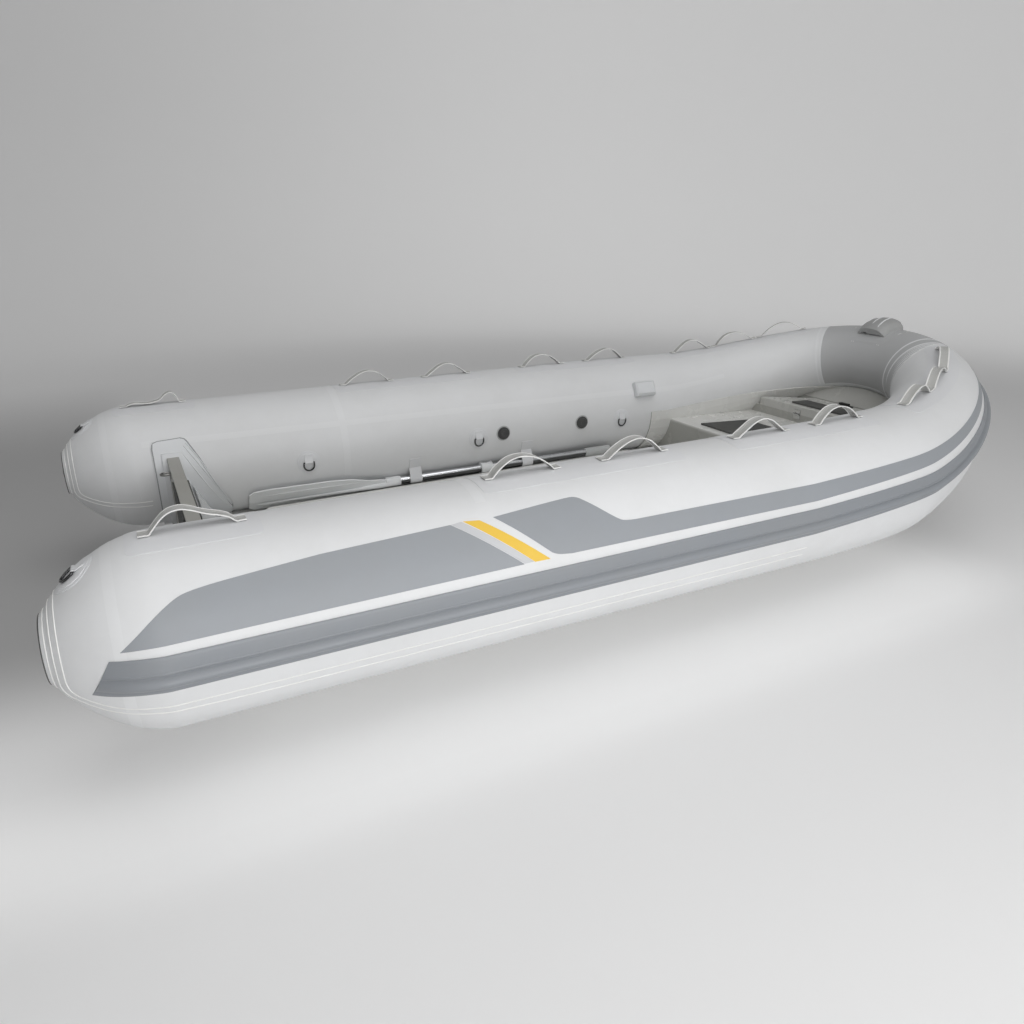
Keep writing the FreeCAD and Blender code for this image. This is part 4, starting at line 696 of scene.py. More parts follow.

# %% [markdown]
# Seams: the tube is closed by tapes. They show as pairs of fine lines where the tape's edges
# stand a fraction of a millimetre proud of the skin. Rings go round the tube, and long tapes
# run along it. The bow section between two seams is covered by a sheet of darker fabric, which
# is painted shade for the inside of the bow.

# %% Seam tapes
CONE_SEAM, CREST_SEAM, BOW_SEAMS = 0.176, 1.083, {"port": (3.790, 3.820), "stbd": (3.840,)}
LONG_SEAM_LOW, LONG_SEAM_HIGH = ((0.30, 143.6), (3.2, 152.0)), ((0.30, 149.6), (3.2, 158.0))
SLANTED_SEAM = ((4.385, 44), (4.401, 79), (4.445, 114), (4.480, 140), (4.510, 169), (4.525, 200))
SHADE_SHEET_START, SHADE_SHEET_LOW, SHADE_SHEET_HIGH = 3.818, 44, 224


def ring_tape(name, run, low, high, width, side=1, thick=0.0006, closed=False):
    """Tape round the tube between two angles, or all the way round it."""
    rows, half = max(8, int(abs(high - low) / 3)), width / 2
    count = rows if closed else rows + 1
    section = ((-half, GLUE_LIFT), (-half, thick), (0, thick), (half, thick), (half, GLUE_LIFT))
    points, uvs = [], []
    for k in range(count):
        angle = low + (high - low) * k / rows
        for ahead, height in section:
            points.append(on_tube(run + ahead, angle, height, side))
            uvs.append(flat_place(run + ahead, angle))
    add_sweep(name, points, count, seam_tape, closed, uvs=uvs, slot="tube_fabric")


for side_name, side in SIDES:
    ring_tape(f"cone_seam_{side_name}", CONE_SEAM, -90, 270, 0.024, side, closed=True)
    ring_tape(f"tube_seam_aft_{side_name}", CREST_SEAM, 64, 205, 0.030, side, 0.0005)
    sheet_on_tube(f"long_seam_{side_name}", columns_between(LONG_SEAM_LOW, LONG_SEAM_HIGH, 0.05), seam_tape,
                  side, 0.0005, 3, slot="tube_fabric")
    for k, run in enumerate(BOW_SEAMS[side_name]):
        place = run if side > 0 else 2 * BOW_RUN - run
        ring_tape(f"bow_seam_{side_name}_{k + 1}", place, 34, 225, 0.010, thick=0.0014)
# A sheet of painted shade over the bow section between the seams.
section = columns_between(((SHADE_SHEET_START, SHADE_SHEET_LOW),) + SLANTED_SEAM,
                          ((SHADE_SHEET_START, SHADE_SHEET_HIGH), (SLANTED_SEAM[-1][0], SHADE_SHEET_HIGH)))
sheet_on_tube("bow_painted_shade", section, painted_shade_fabric, thick=0.0004, rows=40, slot="tube_fabric")
print("seams taped")

# %% [markdown]
# Beads are thin round cords of the same plastic, welded over an edge. A bead is a half-round
# rib that follows a line on the tube, so it is a small pipe sunk half into the skin. On each
# cone one bead is a ring, and two run round it and turn forward into the welt below the strake.

# %% Beads
BEAD_SECTORS, BEAD_THICK, SEAM_BEAD, EDGE_BEAD, EDGE_GAP = 8, 0.0034, 0.003, 0.0036, 0.011
LAST_BEAD, WELT_END_INBOARD = 0.0270, 0.31
WELTS = (("upper", 0.0555, ((0.0565, -16), (0.0605, -24), (0.0765, -25.8), (0.1143, -24.7), (0.1529, -23.2),
                            (0.1922, -21.8), (0.2328, -20.6), (0.3157, -20.9), (0.4034, -21.0), (0.60, -21.6),
                            (2.2, -22))),
         ("lower", 0.0405, ((0.0405, -26), (0.047, -37), (0.0735, -33.3), (0.1115, -30.9), (0.1505, -28.3),
                            (0.1899, -26.4), (0.2303, -25.4), (0.3136, -26.3), (0.4018, -27.4), (0.60, -28.4),
                            (2.2, -30))))
HANDLE_EDGE = ((0.086, 143.2), (0.107, 132.8), (0.115, 119.9), (0.124, 106.2), (0.124, 90))


def bead_on_tube(name, line, thick, side=1, closed=False):
    """Half-sunk round rib through (run, angle) points."""
    spots = [on_tube(*place, 0.0, side) for place in line]
    points = []
    for i, spot in enumerate(spots):
        along = along_line(spots, i, closed)
        away = (on_tube(*line[i], 0.01, side) - spot).normalized()
        away = (away - along * away.dot(along)).normalized()
        beside = along.cross(away)
        for k in range(BEAD_SECTORS):
            turn = math.tau * k / BEAD_SECTORS
            points.append(spot + (away * math.sin(turn) + beside * math.cos(turn)) * thick / 2)
    add_sweep(name, points, len(spots), bead_fabric, closed, sharp=80, slot="tube_fabric")


def fine_line(line, step=0.03):
    out = []
    for (a, b), (c, d) in zip(line, line[1:]):
        pieces = max(1, int((c - a) / step))
        out += [(a + (c - a) * i / pieces, b + (d - b) * i / pieces) for i in range(pieces)]
    return out + [line[-1]]


for side_name, side in SIDES:
    ring = [(LAST_BEAD, angle) for angle in range(0, 360, 4)]
    bead_on_tube(f"cone_bead_{side_name}", ring, BEAD_THICK, side, closed=True)
    for part, ring_run, welt in WELTS:
        outboard = smoothed(welt, 2)
        inboard = [(run, 180 - angle) for run, angle in outboard if run < WELT_END_INBOARD]
        first = outboard[0][1]
        over = [(ring_run, angle) for angle in range(int(first) + 4, int(180 - first) - 3, 4)]
        line = list(reversed(fine_line(outboard))) + over + fine_line(inboard)
        bead_on_tube(f"welt_{part}_{side_name}", line, BEAD_THICK, side)
bead_on_tube("slanted_seam", fine_line(SLANTED_SEAM, 0.01), SEAM_BEAD)
for side_name, side in SIDES:
    for k, inset in enumerate((0.0, EDGE_GAP)):
        line = [(BOW_RUN - side * (away - inset), angle) for away, angle in HANDLE_EDGE]
        bead_on_tube(f"handle_patch_edge_{side_name}_{k + 1}", line, EDGE_BEAD)
print("beads welded on")

# %% [markdown]
# Webbing is a flat woven strap. Close up it has slanted ribs and a thicker white selvedge at
# each edge. The pattern is drawn on the strap's own length and width, so it bends with it.

# %% Webbing finish
SELVEDGE_BLEND, WEBBING_GLOSS, WEBBING_DUST, WEBBING_DUST_SIZE = 0.0008, 0.72, 0.18, 14.0


def build_webbing():
    tree, given, sink = new_group(
        "webbing_weave",
        (("Place", VECTOR, None), ("Rib", FLOAT, 0.0022), ("Edge", FLOAT, 0.016)),
        (("Height", FLOAT), ("Selvedge", FLOAT), ("Tone", FLOAT)))
    place = split_axes(tree, given["Place"])
    across = math_node(tree, "ABSOLUTE", place["Y"])
    selvedge = ramp_node(tree, across, given["Edge"], math_node(tree, "ADD", given["Edge"], SELVEDGE_BLEND))
    cycle = math_node(tree, "DIVIDE", math.tau, given["Rib"])
    slant = math_node(tree, "ADD", place["X"], math_node(tree, "MULTIPLY", across, 0.9))
    ribs = math_node(tree, "SINE", math_node(tree, "MULTIPLY", slant, cycle))
    wider = math_node(tree, "MULTIPLY", cycle, 0.7)
    cords = math_node(tree, "SINE", math_node(tree, "MULTIPLY", place["Y"], wider))
    weave = math_node(tree, "ADD", ribs, math_node(tree, "MULTIPLY", cords, 0.6))
    tone = math_node(tree, "ADD", 0.94, math_node(tree, "MULTIPLY", weave, 0.06))
    set_inputs(sink, Height=weave, Selvedge=selvedge, Tone=tone)
    return tree


webbing_weave = build_webbing()


def webbing_finish(name, ground, border, edge_start):
    material, tree, shader, where = new_material(name)
    weave = place_group(tree, webbing_weave, Place=where.outputs["UV"], Edge=edge_start)
    cloth = tint(tree, ground, weave.outputs["Tone"])
    cloth = mix_colours(tree, weave.outputs["Selvedge"], cloth, border)
    dusty = place_group(tree, dust_film, Colour=cloth, Amount=WEBBING_DUST, Size=WEBBING_DUST_SIZE,
                        Place=where.outputs["Object"])
    dulled = math_node(tree, "MULTIPLY", dusty.outputs["Film"], 0.3)
    set_inputs(shader, Base_Color=dusty.outputs["Colour"], Sheen_Weight=0.3,
               Roughness=math_node(tree, "ADD", WEBBING_GLOSS, dulled, clamp=True))
    add_relief(tree, shader, weave.outputs["Height"], 0.5, 0.0005)
    return material


webbing = webbing_finish("webbing", srgb(196, 196, 193), srgb(250, 250, 248), 0.0140)
print("webbing woven")

# %% [markdown]
# A grab loop is a strap with a flat foot, an arch you can put a hand under, and the other foot.
# It is a thin section with two beads for selvedges, swept along a slightly uneven arch, because
# no two real loops stand alike. The arches are drawn in millimetres over each loop's own span.

# %% Grab loops
LOOP_SPAN, LOOP_FOOT, LOOP_WIDTH, LOOP_THICK = 0.197, 0.024, 0.040, 0.003
FOOT_BEND, STRAP_SHARE, LOOP_CLEAR, PATCH_THICK = 0.4, 0.65, 0.0012, 0.002
SLACK_SHARE, FIRST_BOW_LOOP = 0.86, 5
LOOP_GROUPS = ((0.372,), (1.2604, 1.6464), (2.159, 2.526),
               (BOW_RUN - 1.003, BOW_RUN - 0.748, BOW_RUN - 0.498))
# Each arch: (share of the half span, millimetres up) from the aft foot to the front one
SLUMPED = ((-1, 0), (-0.93, 8), (-0.78, 25), (-0.63, 39), (-0.46, 48), (-0.23, 51), (0, 45), (0.2, 36),
           (0.41, 28), (0.64, 21.5), (0.84, 13), (1, 0))
ROUND = ((-1, 0), (-0.93, 8), (-0.78, 23), (-0.52, 41), (-0.3, 49), (-0.04, 51.5), (0.25, 47), (0.52, 37),
         (0.79, 19), (0.92, 8), (1, 0))
LEANING = ((-1, 0), (-0.9, 7), (-0.71, 21), (-0.43, 37), (-0.13, 48), (0.16, 51), (0.51, 41), (0.78, 21),
           (0.93, 8), (1, 0))
PEAKED = ((-1, 0), (-0.93, 6), (-0.66, 24), (-0.33, 44), (0.03, 52), (0.38, 43), (0.7, 22), (0.93, 6), (1, 0))
TRODDEN = ((-1, 0), (-0.9, 5), (-0.7, 9), (-0.3, 5), (-0.04, 6), (0.28, 15), (0.49, 33), (0.7, 41),
           (0.87, 29), (0.96, 10), (1, 0))
LOOP_SHAPES = {"stbd": (SLUMPED, ROUND, LEANING, PEAKED, ROUND, LEANING, ROUND, PEAKED),
               "port": (TRODDEN, LEANING, PEAKED, ROUND, LEANING, PEAKED, ROUND, LEANING)}
LOOP_TWISTS = (0.0, 0.04, 0.0, 0.03, -0.03, 0.05, -0.02, 0.04)


def smooth_line(line, steps=4):
    """Catmull-Rom line through the points, so a strap bends without corners."""
    out = []
    for i in range(len(line) - 1):
        a, b, c, d = (line[min(max(k, 0), len(line) - 1)] for k in (i - 1, i, i + 1, i + 2))
        for s in range(steps):
            t = s / steps
            out.append(b * (1 - 2.5 * t * t + 1.5 * t ** 3) + c * (0.5 * t + 2 * t * t - 1.5 * t ** 3)
                       + a * (-0.5 * t + t * t - 0.5 * t ** 3) + d * (-0.5 * t * t + 0.5 * t ** 3))
    return out + [line[-1]]


def strap_section_points(width, thick, bead):
    """Flat strip with a rounded, thicker selvedge at each edge, as (across, up) pairs."""
    half = width / 2
    upper = [(-half + 0.0045, thick / 2), (-half + 0.0036, bead / 2), (-half + 0.0015, bead / 2 + 0.0002),
             (-half, bead / 2 - 0.0006)]
    left = upper + [(x, -z) for x, z in reversed(upper)]
    return left + [(-x, -z) for x, z in left]


def grab_loop(name, middle, shape, twist, tall, side, node):
    start, end = middle - LOOP_SPAN / 2, middle + LOOP_SPAN / 2
    first, last = on_tube(start, 90), on_tube(end, 90)
    along = (last - first).normalized()
    up = along.cross(cross_frame(middle)[0])
    up = (up if up.z > 0 else -up).normalized()
    beside = up.cross(along)
    crest = [up.dot(on_tube(run, 90)) for run in (start - LOOP_FOOT, start, middle, end, end + LOOP_FOOT)]
    base = (first + last) / 2
    base = base + up * (max(crest) - up.dot(base) + PATCH_THICK + LOOP_CLEAR + LOOP_THICK / 2)
    half = (last - first).length / 2
    toe, heel = along * (half + LOOP_FOOT), along * (half + LOOP_FOOT * FOOT_BEND)
    knots = [base - toe, base - heel]
    for share, height in shape:
        height = height * tall / 1000
        knots.append(base + along * (half * share) + up * height + beside * (twist * height))
    spine = smooth_line(knots + [base + heel, base + toe])
    section = strap_section_points(LOOP_WIDTH, LOOP_THICK * STRAP_SHARE, LOOP_THICK)
    points, uvs, passed = [], [], 0.0
    for i, spot in enumerate(spine):
        away = along_line(spine, i).cross(beside)
        away = (away if away.dot(up) > 0 or abs(away.dot(up)) < 1e-6 else -away).normalized()
        passed += (spot - spine[max(i - 1, 0)]).length
        for x, z in section:
            point = spot + beside * x + away * z
            points.append(Vector((point.x, point.y * side, point.z)))
            uvs.append((passed, x))
    add_sweep(name, points, len(spine), webbing, uvs=uvs, sharp=70, replaces=[node])


middles = [middle for group in LOOP_GROUPS for middle in group]
for side_name, side in SIDES:
    for k, (middle, shape, twist) in enumerate(zip(middles, LOOP_SHAPES[side_name], LOOP_TWISTS)):
        tall = SLACK_SHARE if k >= FIRST_BOW_LOOP and side < 0 else 1
        grab_loop(f"grab_loop_{side_name}_{k + 1}", middle, shape, twist, tall, side,
                  f"grab_loops_{side_name}")
print("grab loops:", 2 * len(middles))

# %% [markdown]
# Each group of loops sits on one long patch, so a pull on the strap spreads over the fabric.
# The patches have rounded corners, so they don't lift, and show as a fine outline.

# %% Patches under the loops
PATCH_REACH, PATCH_LOW, PATCH_HIGH = 0.055, 70.5, 109.5
HANDLE_PATCH_HALF, HANDLE_PATCH_FORE, HANDLE_PATCH_AFT, HANDLE_PATCH_CORNER = 0.122, 84, 142, 0.03


def rounded_patch(start, end, low, high, corner=0.02, steps=6):
    """Columns of a patch whose corners are rounded by this radius."""
    columns = []
    ends = [corner * (1 - math.cos(math.pi / 2 * i / steps)) for i in range(steps + 1)]
    spots = [start + e for e in ends] + [end - e for e in reversed(ends)]
    for spot in spots:
        into = min(spot - start, end - spot)
        cut = corner - math.sqrt(max(corner ** 2 - (corner - min(into, corner)) ** 2, 0))
        drop = math.degrees(cut / radius(spot))
        columns.append((spot, low + drop, high - drop))
    out = []
    for (a, b, c), (d, e, f) in zip(columns, columns[1:]):
        for share in spread(0, 1, 0.03 / max(d - a, 1e-6) if d - a > 0.03 else 1)[:-1]:
            out.append((a + (d - a) * share, b + (e - b) * share, c + (f - c) * share))
    return out + [columns[-1]]


for side_name, side in SIDES:
    for k, group in enumerate(LOOP_GROUPS):
        reach = LOOP_SPAN / 2 + PATCH_REACH
        columns = rounded_patch(group[0] - reach, group[-1] + reach, PATCH_LOW, PATCH_HIGH)
        sheet_on_tube(f"loop_patch_{side_name}_{k + 1}", columns, patch_fabric, side, 0.0011,
                      replaces=[f"loop_patches_{side_name}"])
# The handle patch is painted darker, as painted shade like the bow section round it.
columns = rounded_patch(BOW_RUN - HANDLE_PATCH_HALF, BOW_RUN + HANDLE_PATCH_HALF, HANDLE_PATCH_FORE,
                        HANDLE_PATCH_AFT, HANDLE_PATCH_CORNER)
sheet_on_tube("handle_patch", columns, painted_shade_fabric, thick=0.0015, rows=24, replaces=["bow_handle_patch"])
print("patches:", 2 * len(LOOP_GROUPS) + 1)

# %% [markdown]
# Round things stand on the tube: patches, rings, valve caps. Each is placed by its run and angle,
# and its points by how far they lie ahead and round from there. On the cone a step ahead is
# longer along the skin than along the axis, so the helper measures the skin's slope first.

# %% Helpers for fittings
SLOPE_STEP, WIRE_SECTORS, DISC_SECTORS = 0.004, 10, 48


def near_spot(run, angle, ahead, around, height, side):
    """Point on the skin this far ahead of a place and round from it, in metres."""
    slope = (radius(run + SLOPE_STEP) - radius(run - SLOPE_STEP)) / (2 * SLOPE_STEP)
    spot = run + ahead / math.hypot(1, slope)
    return on_tube(spot, angle + math.degrees(around / radius(run)), height, side)


def pipe(name, spots, thick, material, replaces=(), closed=False, slot=None):
    """Round wire through points, of one thickness or of one for each point."""
    thicks = thick if isinstance(thick, (list, tuple)) else [thick] * len(spots)
    points, side_way = [], None
    for i, spot in enumerate(spots):
        along = along_line(spots, i, closed)
        guess = side_way if side_way else (Vector((0, 0, 1)) if abs(along.z) < 0.9 else Vector((0, 1, 0)))
        side_way = (guess - along * guess.dot(along)).normalized()
        other = along.cross(side_way)
        for k in range(WIRE_SECTORS):
            turn = math.tau * k / WIRE_SECTORS
            points.append(spot + (side_way * math.cos(turn) + other * math.sin(turn)) * thicks[i] / 2)
    add_sweep(name, points, len(spots), material, closed, replaces=replaces, sharp=60, slot=slot)


def disc_on_tube(name, run, angle, layers, side, node):
    """Round patch of stacked layers, each (radius, height of its top), widest first."""
    rings = [(layers[0][0], GLUE_LIFT)]
    for k, (reach, top) in enumerate(layers):
        inner = layers[k + 1][0] if k + 1 < len(layers) else reach * 0.5
        rings += [(reach, top - 0.0002), (reach - 0.0004, top), (inner + 0.0001, top)]
    rings.append((0.004, layers[-1][1]))

    def ring(reach, height):
        turns = [math.tau * k / DISC_SECTORS for k in range(DISC_SECTORS)]
        return [(reach * math.cos(turn), reach * math.sin(turn), height) for turn in turns]
    spots = [spot for reach, height in rings for spot in ring(reach, height)]
    base = len(spots)
    uvs = [(run + ahead, around) for ahead, around, height in spots] + [(run, 0.0)] * DISC_SECTORS
    spots += ring(rings[0][0] * 0.5, GLUE_LIFT)
    points = [near_spot(run, angle, *spot, side) for spot in spots]
    faces = grid_faces(len(rings), DISC_SECTORS, wrap=True)
    faces.append(tuple(base - DISC_SECTORS + k for k in range(DISC_SECTORS)))
    for k in range(DISC_SECTORS):
        after = (k + 1) % DISC_SECTORS
        faces.append((k, after, base + after, base + k))
    faces.append(tuple(base + k for k in reversed(range(DISC_SECTORS))))
    add_piece(name, points, faces, patch_fabric, replaces=[node], uvs=uvs)

# %% [markdown]
# A D-ring is a bent steel wire held by a folded tab of fabric on a doubled round patch. The wire
# has two straight legs and a round end. On the inner faces of the tubes the rings hang down,
# and on the stern cones they point aft, ready for a tow line.

# %% D-rings
RING_WIRE, RING_HALF, RING_LEG = 0.0063, 0.0215, 0.013
RING_RUNS, RING_ANGLE = (0.4145 * CURVE_START, 0.768 * CURVE_START, CURVE_START + 0.282), 183
TAB_HALF, TAB_LONG, TAB_THICK, TAB_PINCH = 0.0165, 0.034, 0.0016, -0.010
TOW_RUN, TOW_ANGLE = 0.103, 91
INNER_LAYERS, TOW_LAYERS = ((0.048, 0.0016), (0.040, 0.0032)), ((0.058, 0.0018), (0.048, 0.0036))


def d_ring(name, run, angle, side, hang_aft, node, layers):
    """Ring, tab and patch. hang_aft turns the ring from hanging down to pointing aft."""
    def place(down, across, height):
        ahead, around = (-down, across) if hang_aft else (across, down)
        return near_spot(run, angle, ahead, around, height, side)
    disc_on_tube(f"{name}_patch", run, angle, layers, side, node)
    top = layers[-1][1]
    bar = top + TAB_THICK + RING_WIRE / 2 + 0.0003
    bends = [math.pi * i / 14 for i in range(15)]
    wire = [(0.0, -RING_HALF), (RING_LEG / 2, -RING_HALF)]
    wire += [(RING_LEG + RING_HALF * math.sin(t), -RING_HALF * math.cos(t)) for t in bends]
    wire += [(RING_LEG / 2, RING_HALF)] + [(0.0, RING_HALF * share) for share in (1, 0.5, 0, -0.5)]
    spots = [place(down, across, bar) for down, across in wire]
    pipe(f"{name}_wire", spots, RING_WIRE, ring_steel, [node], closed=True)
    outer, inner = RING_WIRE / 2 + TAB_THICK, RING_WIRE / 2 + 0.0002
    over, under = [math.pi * i / 8 - 0.3 for i in range(10)], [math.pi * (8 - i) / 8 for i in range(9)]
    fold = [(-TAB_LONG, top + TAB_THICK + 0.0016), (TAB_PINCH, top + TAB_THICK + 0.0022)]
    fold += [(outer * math.sin(t), bar + outer * math.cos(t)) for t in over]
    fold += [(inner * math.sin(t), bar + inner * math.cos(t)) for t in under]
    fold += [(TAB_PINCH, top + TAB_THICK * 0.6), (-TAB_LONG, top + GLUE_LIFT)]
    rows = (-TAB_HALF, -TAB_HALF * 0.5, 0, TAB_HALF * 0.5, TAB_HALF)
    points = [place(down, across, height) for across in rows for down, height in fold]
    uvs = [(down, across) for across in rows for down, height in fold]
    add_sweep(f"{name}_tab", points, len(rows), patch_fabric, replaces=[node], uvs=uvs, sharp=50)


for side_name, side in SIDES:
    for k, run in enumerate(RING_RUNS):
        d_ring(f"inner_ring_{side_name}_{k + 1}", run, RING_ANGLE, side, False, f"inner_rings_{side_name}",
               INNER_LAYERS)
    d_ring(f"tow_ring_{side_name}", TOW_RUN, TOW_ANGLE, side, True, f"stern_ring_{side_name}", TOW_LAYERS)
print("rings:", 2 * (len(RING_RUNS) + 1))

# %% [markdown]
# Valve caps and end caps are turned shapes: a profile spun about an axis. A row of ribs round the
# valve cap gives wet fingers a hold, so its outer points swing in and out as they go round.

# %% Turned shapes
# Profiles as (radius, height), from the foot up and in to the middle
END_CAP = ((0.0775, -0.0030), (0.0810, -0.0008), (0.0838, 0.0004), (0.0846, 0.0018), (0.0830, 0.0030),
           (0.0790, 0.0033), (0.0765, 0.0026), (0.0740, 0.0030), (0.0560, 0.0042), (0.0400, 0.0048),
           (0.0240, 0.0050), (0.0222, 0.0046), (0.0205, 0.0052), (0.0190, 0.0080), (0.0165, 0.0092),
           (0.0060, 0.0095), (0.0050, 0.0090), (0.0010, 0.0090))
VALVE_RIM = ((0.0350, 0.0002), (0.0352, 0.0016), (0.0335, 0.0026), (0.0300, 0.0027))
VALVE_CAP = ((0.0300, 0.0005), (0.0302, 0.0040), (0.0296, 0.0078), (0.0280, 0.0092), (0.0245, 0.0095),
             (0.0225, 0.0088), (0.0218, 0.0100), (0.0212, 0.0135), (0.0195, 0.0143), (0.0120, 0.0143),
             (0.0105, 0.0128), (0.0020, 0.0126))
VALVE_RUNS, VALVE_ANGLE = (0.825 * CURVE_START, CURVE_START + 0.041), 181
VALVE_RIBS, VALVE_RIB_ROWS, VALVE_RIB_DEPTH = 24, (1, 2), 0.0012


def turned_shape(name, profile, origin, axis, material, node, sectors=64, ribs=0, rib_rows=(), rib_depth=0.0):
    """Spin (radius, height) points round an axis, with ribs on the rows named."""
    axis = axis.normalized()
    first = axis.cross(Vector((0, 0, 1)) if abs(axis.z) < 0.9 else Vector((1, 0, 0))).normalized()
    second = axis.cross(first)
    points = []
    for row, (reach, height) in enumerate(profile):
        for k in range(sectors):
            turn = math.tau * k / sectors
            dent = rib_depth if row in rib_rows and k * ribs / sectors % 1 < 0.5 else 0
            outward = first * math.cos(turn) + second * math.sin(turn)
            points.append(origin + axis * height + outward * (reach - dent))
    add_sweep(name, points, len(profile), material, replaces=[node], sharp=30)


for side_name, side in SIDES:
    small_end = Vector((CONE_START - HALF_LENGTH, TUBE_OFFSET * side, TUBE_HEIGHT + CONE_RISE))
    turned_shape(f"end_cap_moulding_{side_name}", END_CAP, small_end, Vector((-1, 0, 0)), cap_plastic,
                 f"end_cap_{side_name}", 96)
    for k, run in enumerate(VALVE_RUNS):
        foot, tip = on_tube(run, VALVE_ANGLE, 0, side), on_tube(run, VALVE_ANGLE, 0.01, side)
        turned_shape(f"valve_rim_{side_name}_{k + 1}", VALVE_RIM, foot, tip - foot, handle_plastic,
                     f"valves_{side_name}")
        turned_shape(f"valve_cap_{side_name}_{k + 1}", VALVE_CAP, foot, tip - foot, valve_plastic,
                     f"valves_{side_name}", 96, VALVE_RIBS, VALVE_RIB_ROWS, VALVE_RIB_DEPTH)
print("valves and end caps turned")

# %% [markdown]
# The bow handle is a broad moulded hood that bridges the top of the tube from side to side, with
# room for a hand under it. Three thick ribs run fore and aft over its crown for grip, and its feet
# spread on the doubled patch. Its shell is drawn on the tube's own run and angle.

# %% Bow handle
HOOD_HALF, HOOD_FORE, HOOD_AFT, HOOD_THICK, HOOD_LIFT = 0.080, 84, 126, 0.016, 0.0016
HOOD_CROWN = ((0, 0.047), (0.30, 0.046), (0.55, 0.042), (0.75, 0.035), (0.90, 0.025), (1.0, 0.012))
# The shell fore and aft: (share of its thickness, degrees)
HOOD_SECTION = ((0, HOOD_FORE), (0.86, HOOD_FORE + 0.5), (1, HOOD_FORE + 3), (1, HOOD_FORE + 8), (1, 100),
                (0.98, 108), (0.90, HOOD_AFT - 10), (0.74, HOOD_AFT - 5), (0.50, HOOD_AFT - 1))
HOOD_RIBS, RIB_THICK, RIB_SINK, RIB_SLANT = (-0.62, -0.2, 0.3), 0.0085, 0.001, 0.0006
RIB_LINE = ((HOOD_FORE + 5, 1), (92, 1), (98, 1), (104, 0.99), (110, 0.96), (HOOD_AFT - 11, 0.92),
            (HOOD_AFT - 6, 0.8))


def hood_height(share):
    for (a, high), (b, low) in zip(HOOD_CROWN, HOOD_CROWN[1:]):
        if abs(share) <= b:
            return high + (low - high) * (abs(share) - a) / (b - a)
    return HOOD_CROWN[-1][1]


def add_bow_handle():
    shares = spread(-1, 1, 0.04)
    points = []
    for share in shares:
        high, run = hood_height(share), BOW_RUN + HOOD_HALF * share
        low = max(high - HOOD_THICK, 0) if abs(share) < 0.8 else 0
        for part, angle in HOOD_SECTION:
            points.append(on_tube(run, angle, HOOD_LIFT + low + (high - low) * part))
        points.append(on_tube(run, HOOD_AFT, HOOD_LIFT + low * (0.3 if share > -0.3 else 0.6)))
    add_sweep("bow_handle_moulding", points, len(shares), hood_rubber, sharp=50, replaces=["bow_handle"])
    for k, share in enumerate(HOOD_RIBS):
        high, run = hood_height(share) + HOOD_LIFT - RIB_SINK, BOW_RUN + HOOD_HALF * share
        spots = [on_tube(run + RIB_SLANT * (angle - 100), angle, high * part) for angle, part in RIB_LINE]
        pipe(f"bow_handle_rib_{k + 1}", spots, RIB_THICK, patch_fabric, slot="handle_moulding")


add_bow_handle()
print("bow handle moulded,", len(HOOD_RIBS), "ribs")

# %% [markdown]
# The oar's blade is stiffened by a tapered spine that runs on from the shaft, and by a thin rib
# beside it. The collar that carries the rowing pin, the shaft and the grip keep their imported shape.

# %% Oar ribs
# Each line is (x, y, z, thickness) from the blade's end to the shaft
SPINE_LINE = (
    (-1.222, 0.575, 0.2405, 0.008), (-1.193, 0.570, 0.2420, 0.013), (-1.093, 0.562, 0.2455, 0.015),
    (-0.966, 0.556, 0.2475, 0.017), (-0.836, 0.547, 0.2500, 0.020), (-0.703, 0.5385, 0.2525, 0.025),
    (-0.622, 0.5370, 0.2550, 0.027))
THIN_LINE = (
    (-1.213, 0.5385, 0.2865, 0.003), (-1.136, 0.5350, 0.2872, 0.005), (-1.053, 0.5320, 0.2880, 0.005),
    (-0.968, 0.5305, 0.2872, 0.005), (-0.882, 0.5290, 0.2858, 0.004), (-0.800, 0.5280, 0.2846, 0.002))
for side_name, side in SIDES:
    for part, line in (("spine", SPINE_LINE), ("rib", THIN_LINE)):
        spots = [Vector((x, y * side, z)) for x, y, z, thick in line]
        thicks = [thick for x, y, z, thick in line]
        pipe(f"oar_{part}_{side_name}", spots, thicks, oar_plastic, slot="oar_plastic")
print("oar ribs added")

# %% [markdown]
# The deck liner has a low moulded rail along each side, just inboard of the tube. The oars lie
# over it, and it closes the dark crease under the tube.

# %% Deck side rails
RAIL_FLOOR, RAIL_TOE, RAIL_RAMP = 0.1995, 0.15, 0.05
RAIL_SECTION = ((0.496, RAIL_FLOOR), (0.500, 0.226), (0.508, 0.238), (0.520, 0.2405), (0.531, 0.238),
                (0.537, 0.226), (0.540, RAIL_FLOOR))
RAIL_AFT, RAIL_FORE = -1.24, 0.66
RAIL_PLACES = ((RAIL_AFT, RAIL_TOE), (RAIL_AFT + RAIL_RAMP, 1),
               (RAIL_FORE - RAIL_RAMP, 1), (RAIL_FORE, RAIL_TOE))
for side_name, side in SIDES:
    points = []
    for x, share in RAIL_PLACES:
        points += [Vector((x, y * side, RAIL_FLOOR + (z - RAIL_FLOOR) * share)) for y, z in RAIL_SECTION]
    add_sweep(f"deck_rail_{side_name}", points, len(RAIL_PLACES), gelcoat, sharp=40, slot="deck_moulding")
print("deck rails added")

# %% [markdown]
# The transom's holder is a moulded shell glued to the tube's inner face. Its thin rim shows as a
# darker outline with rounded corners, and three ribs lie along its slanted front edge.

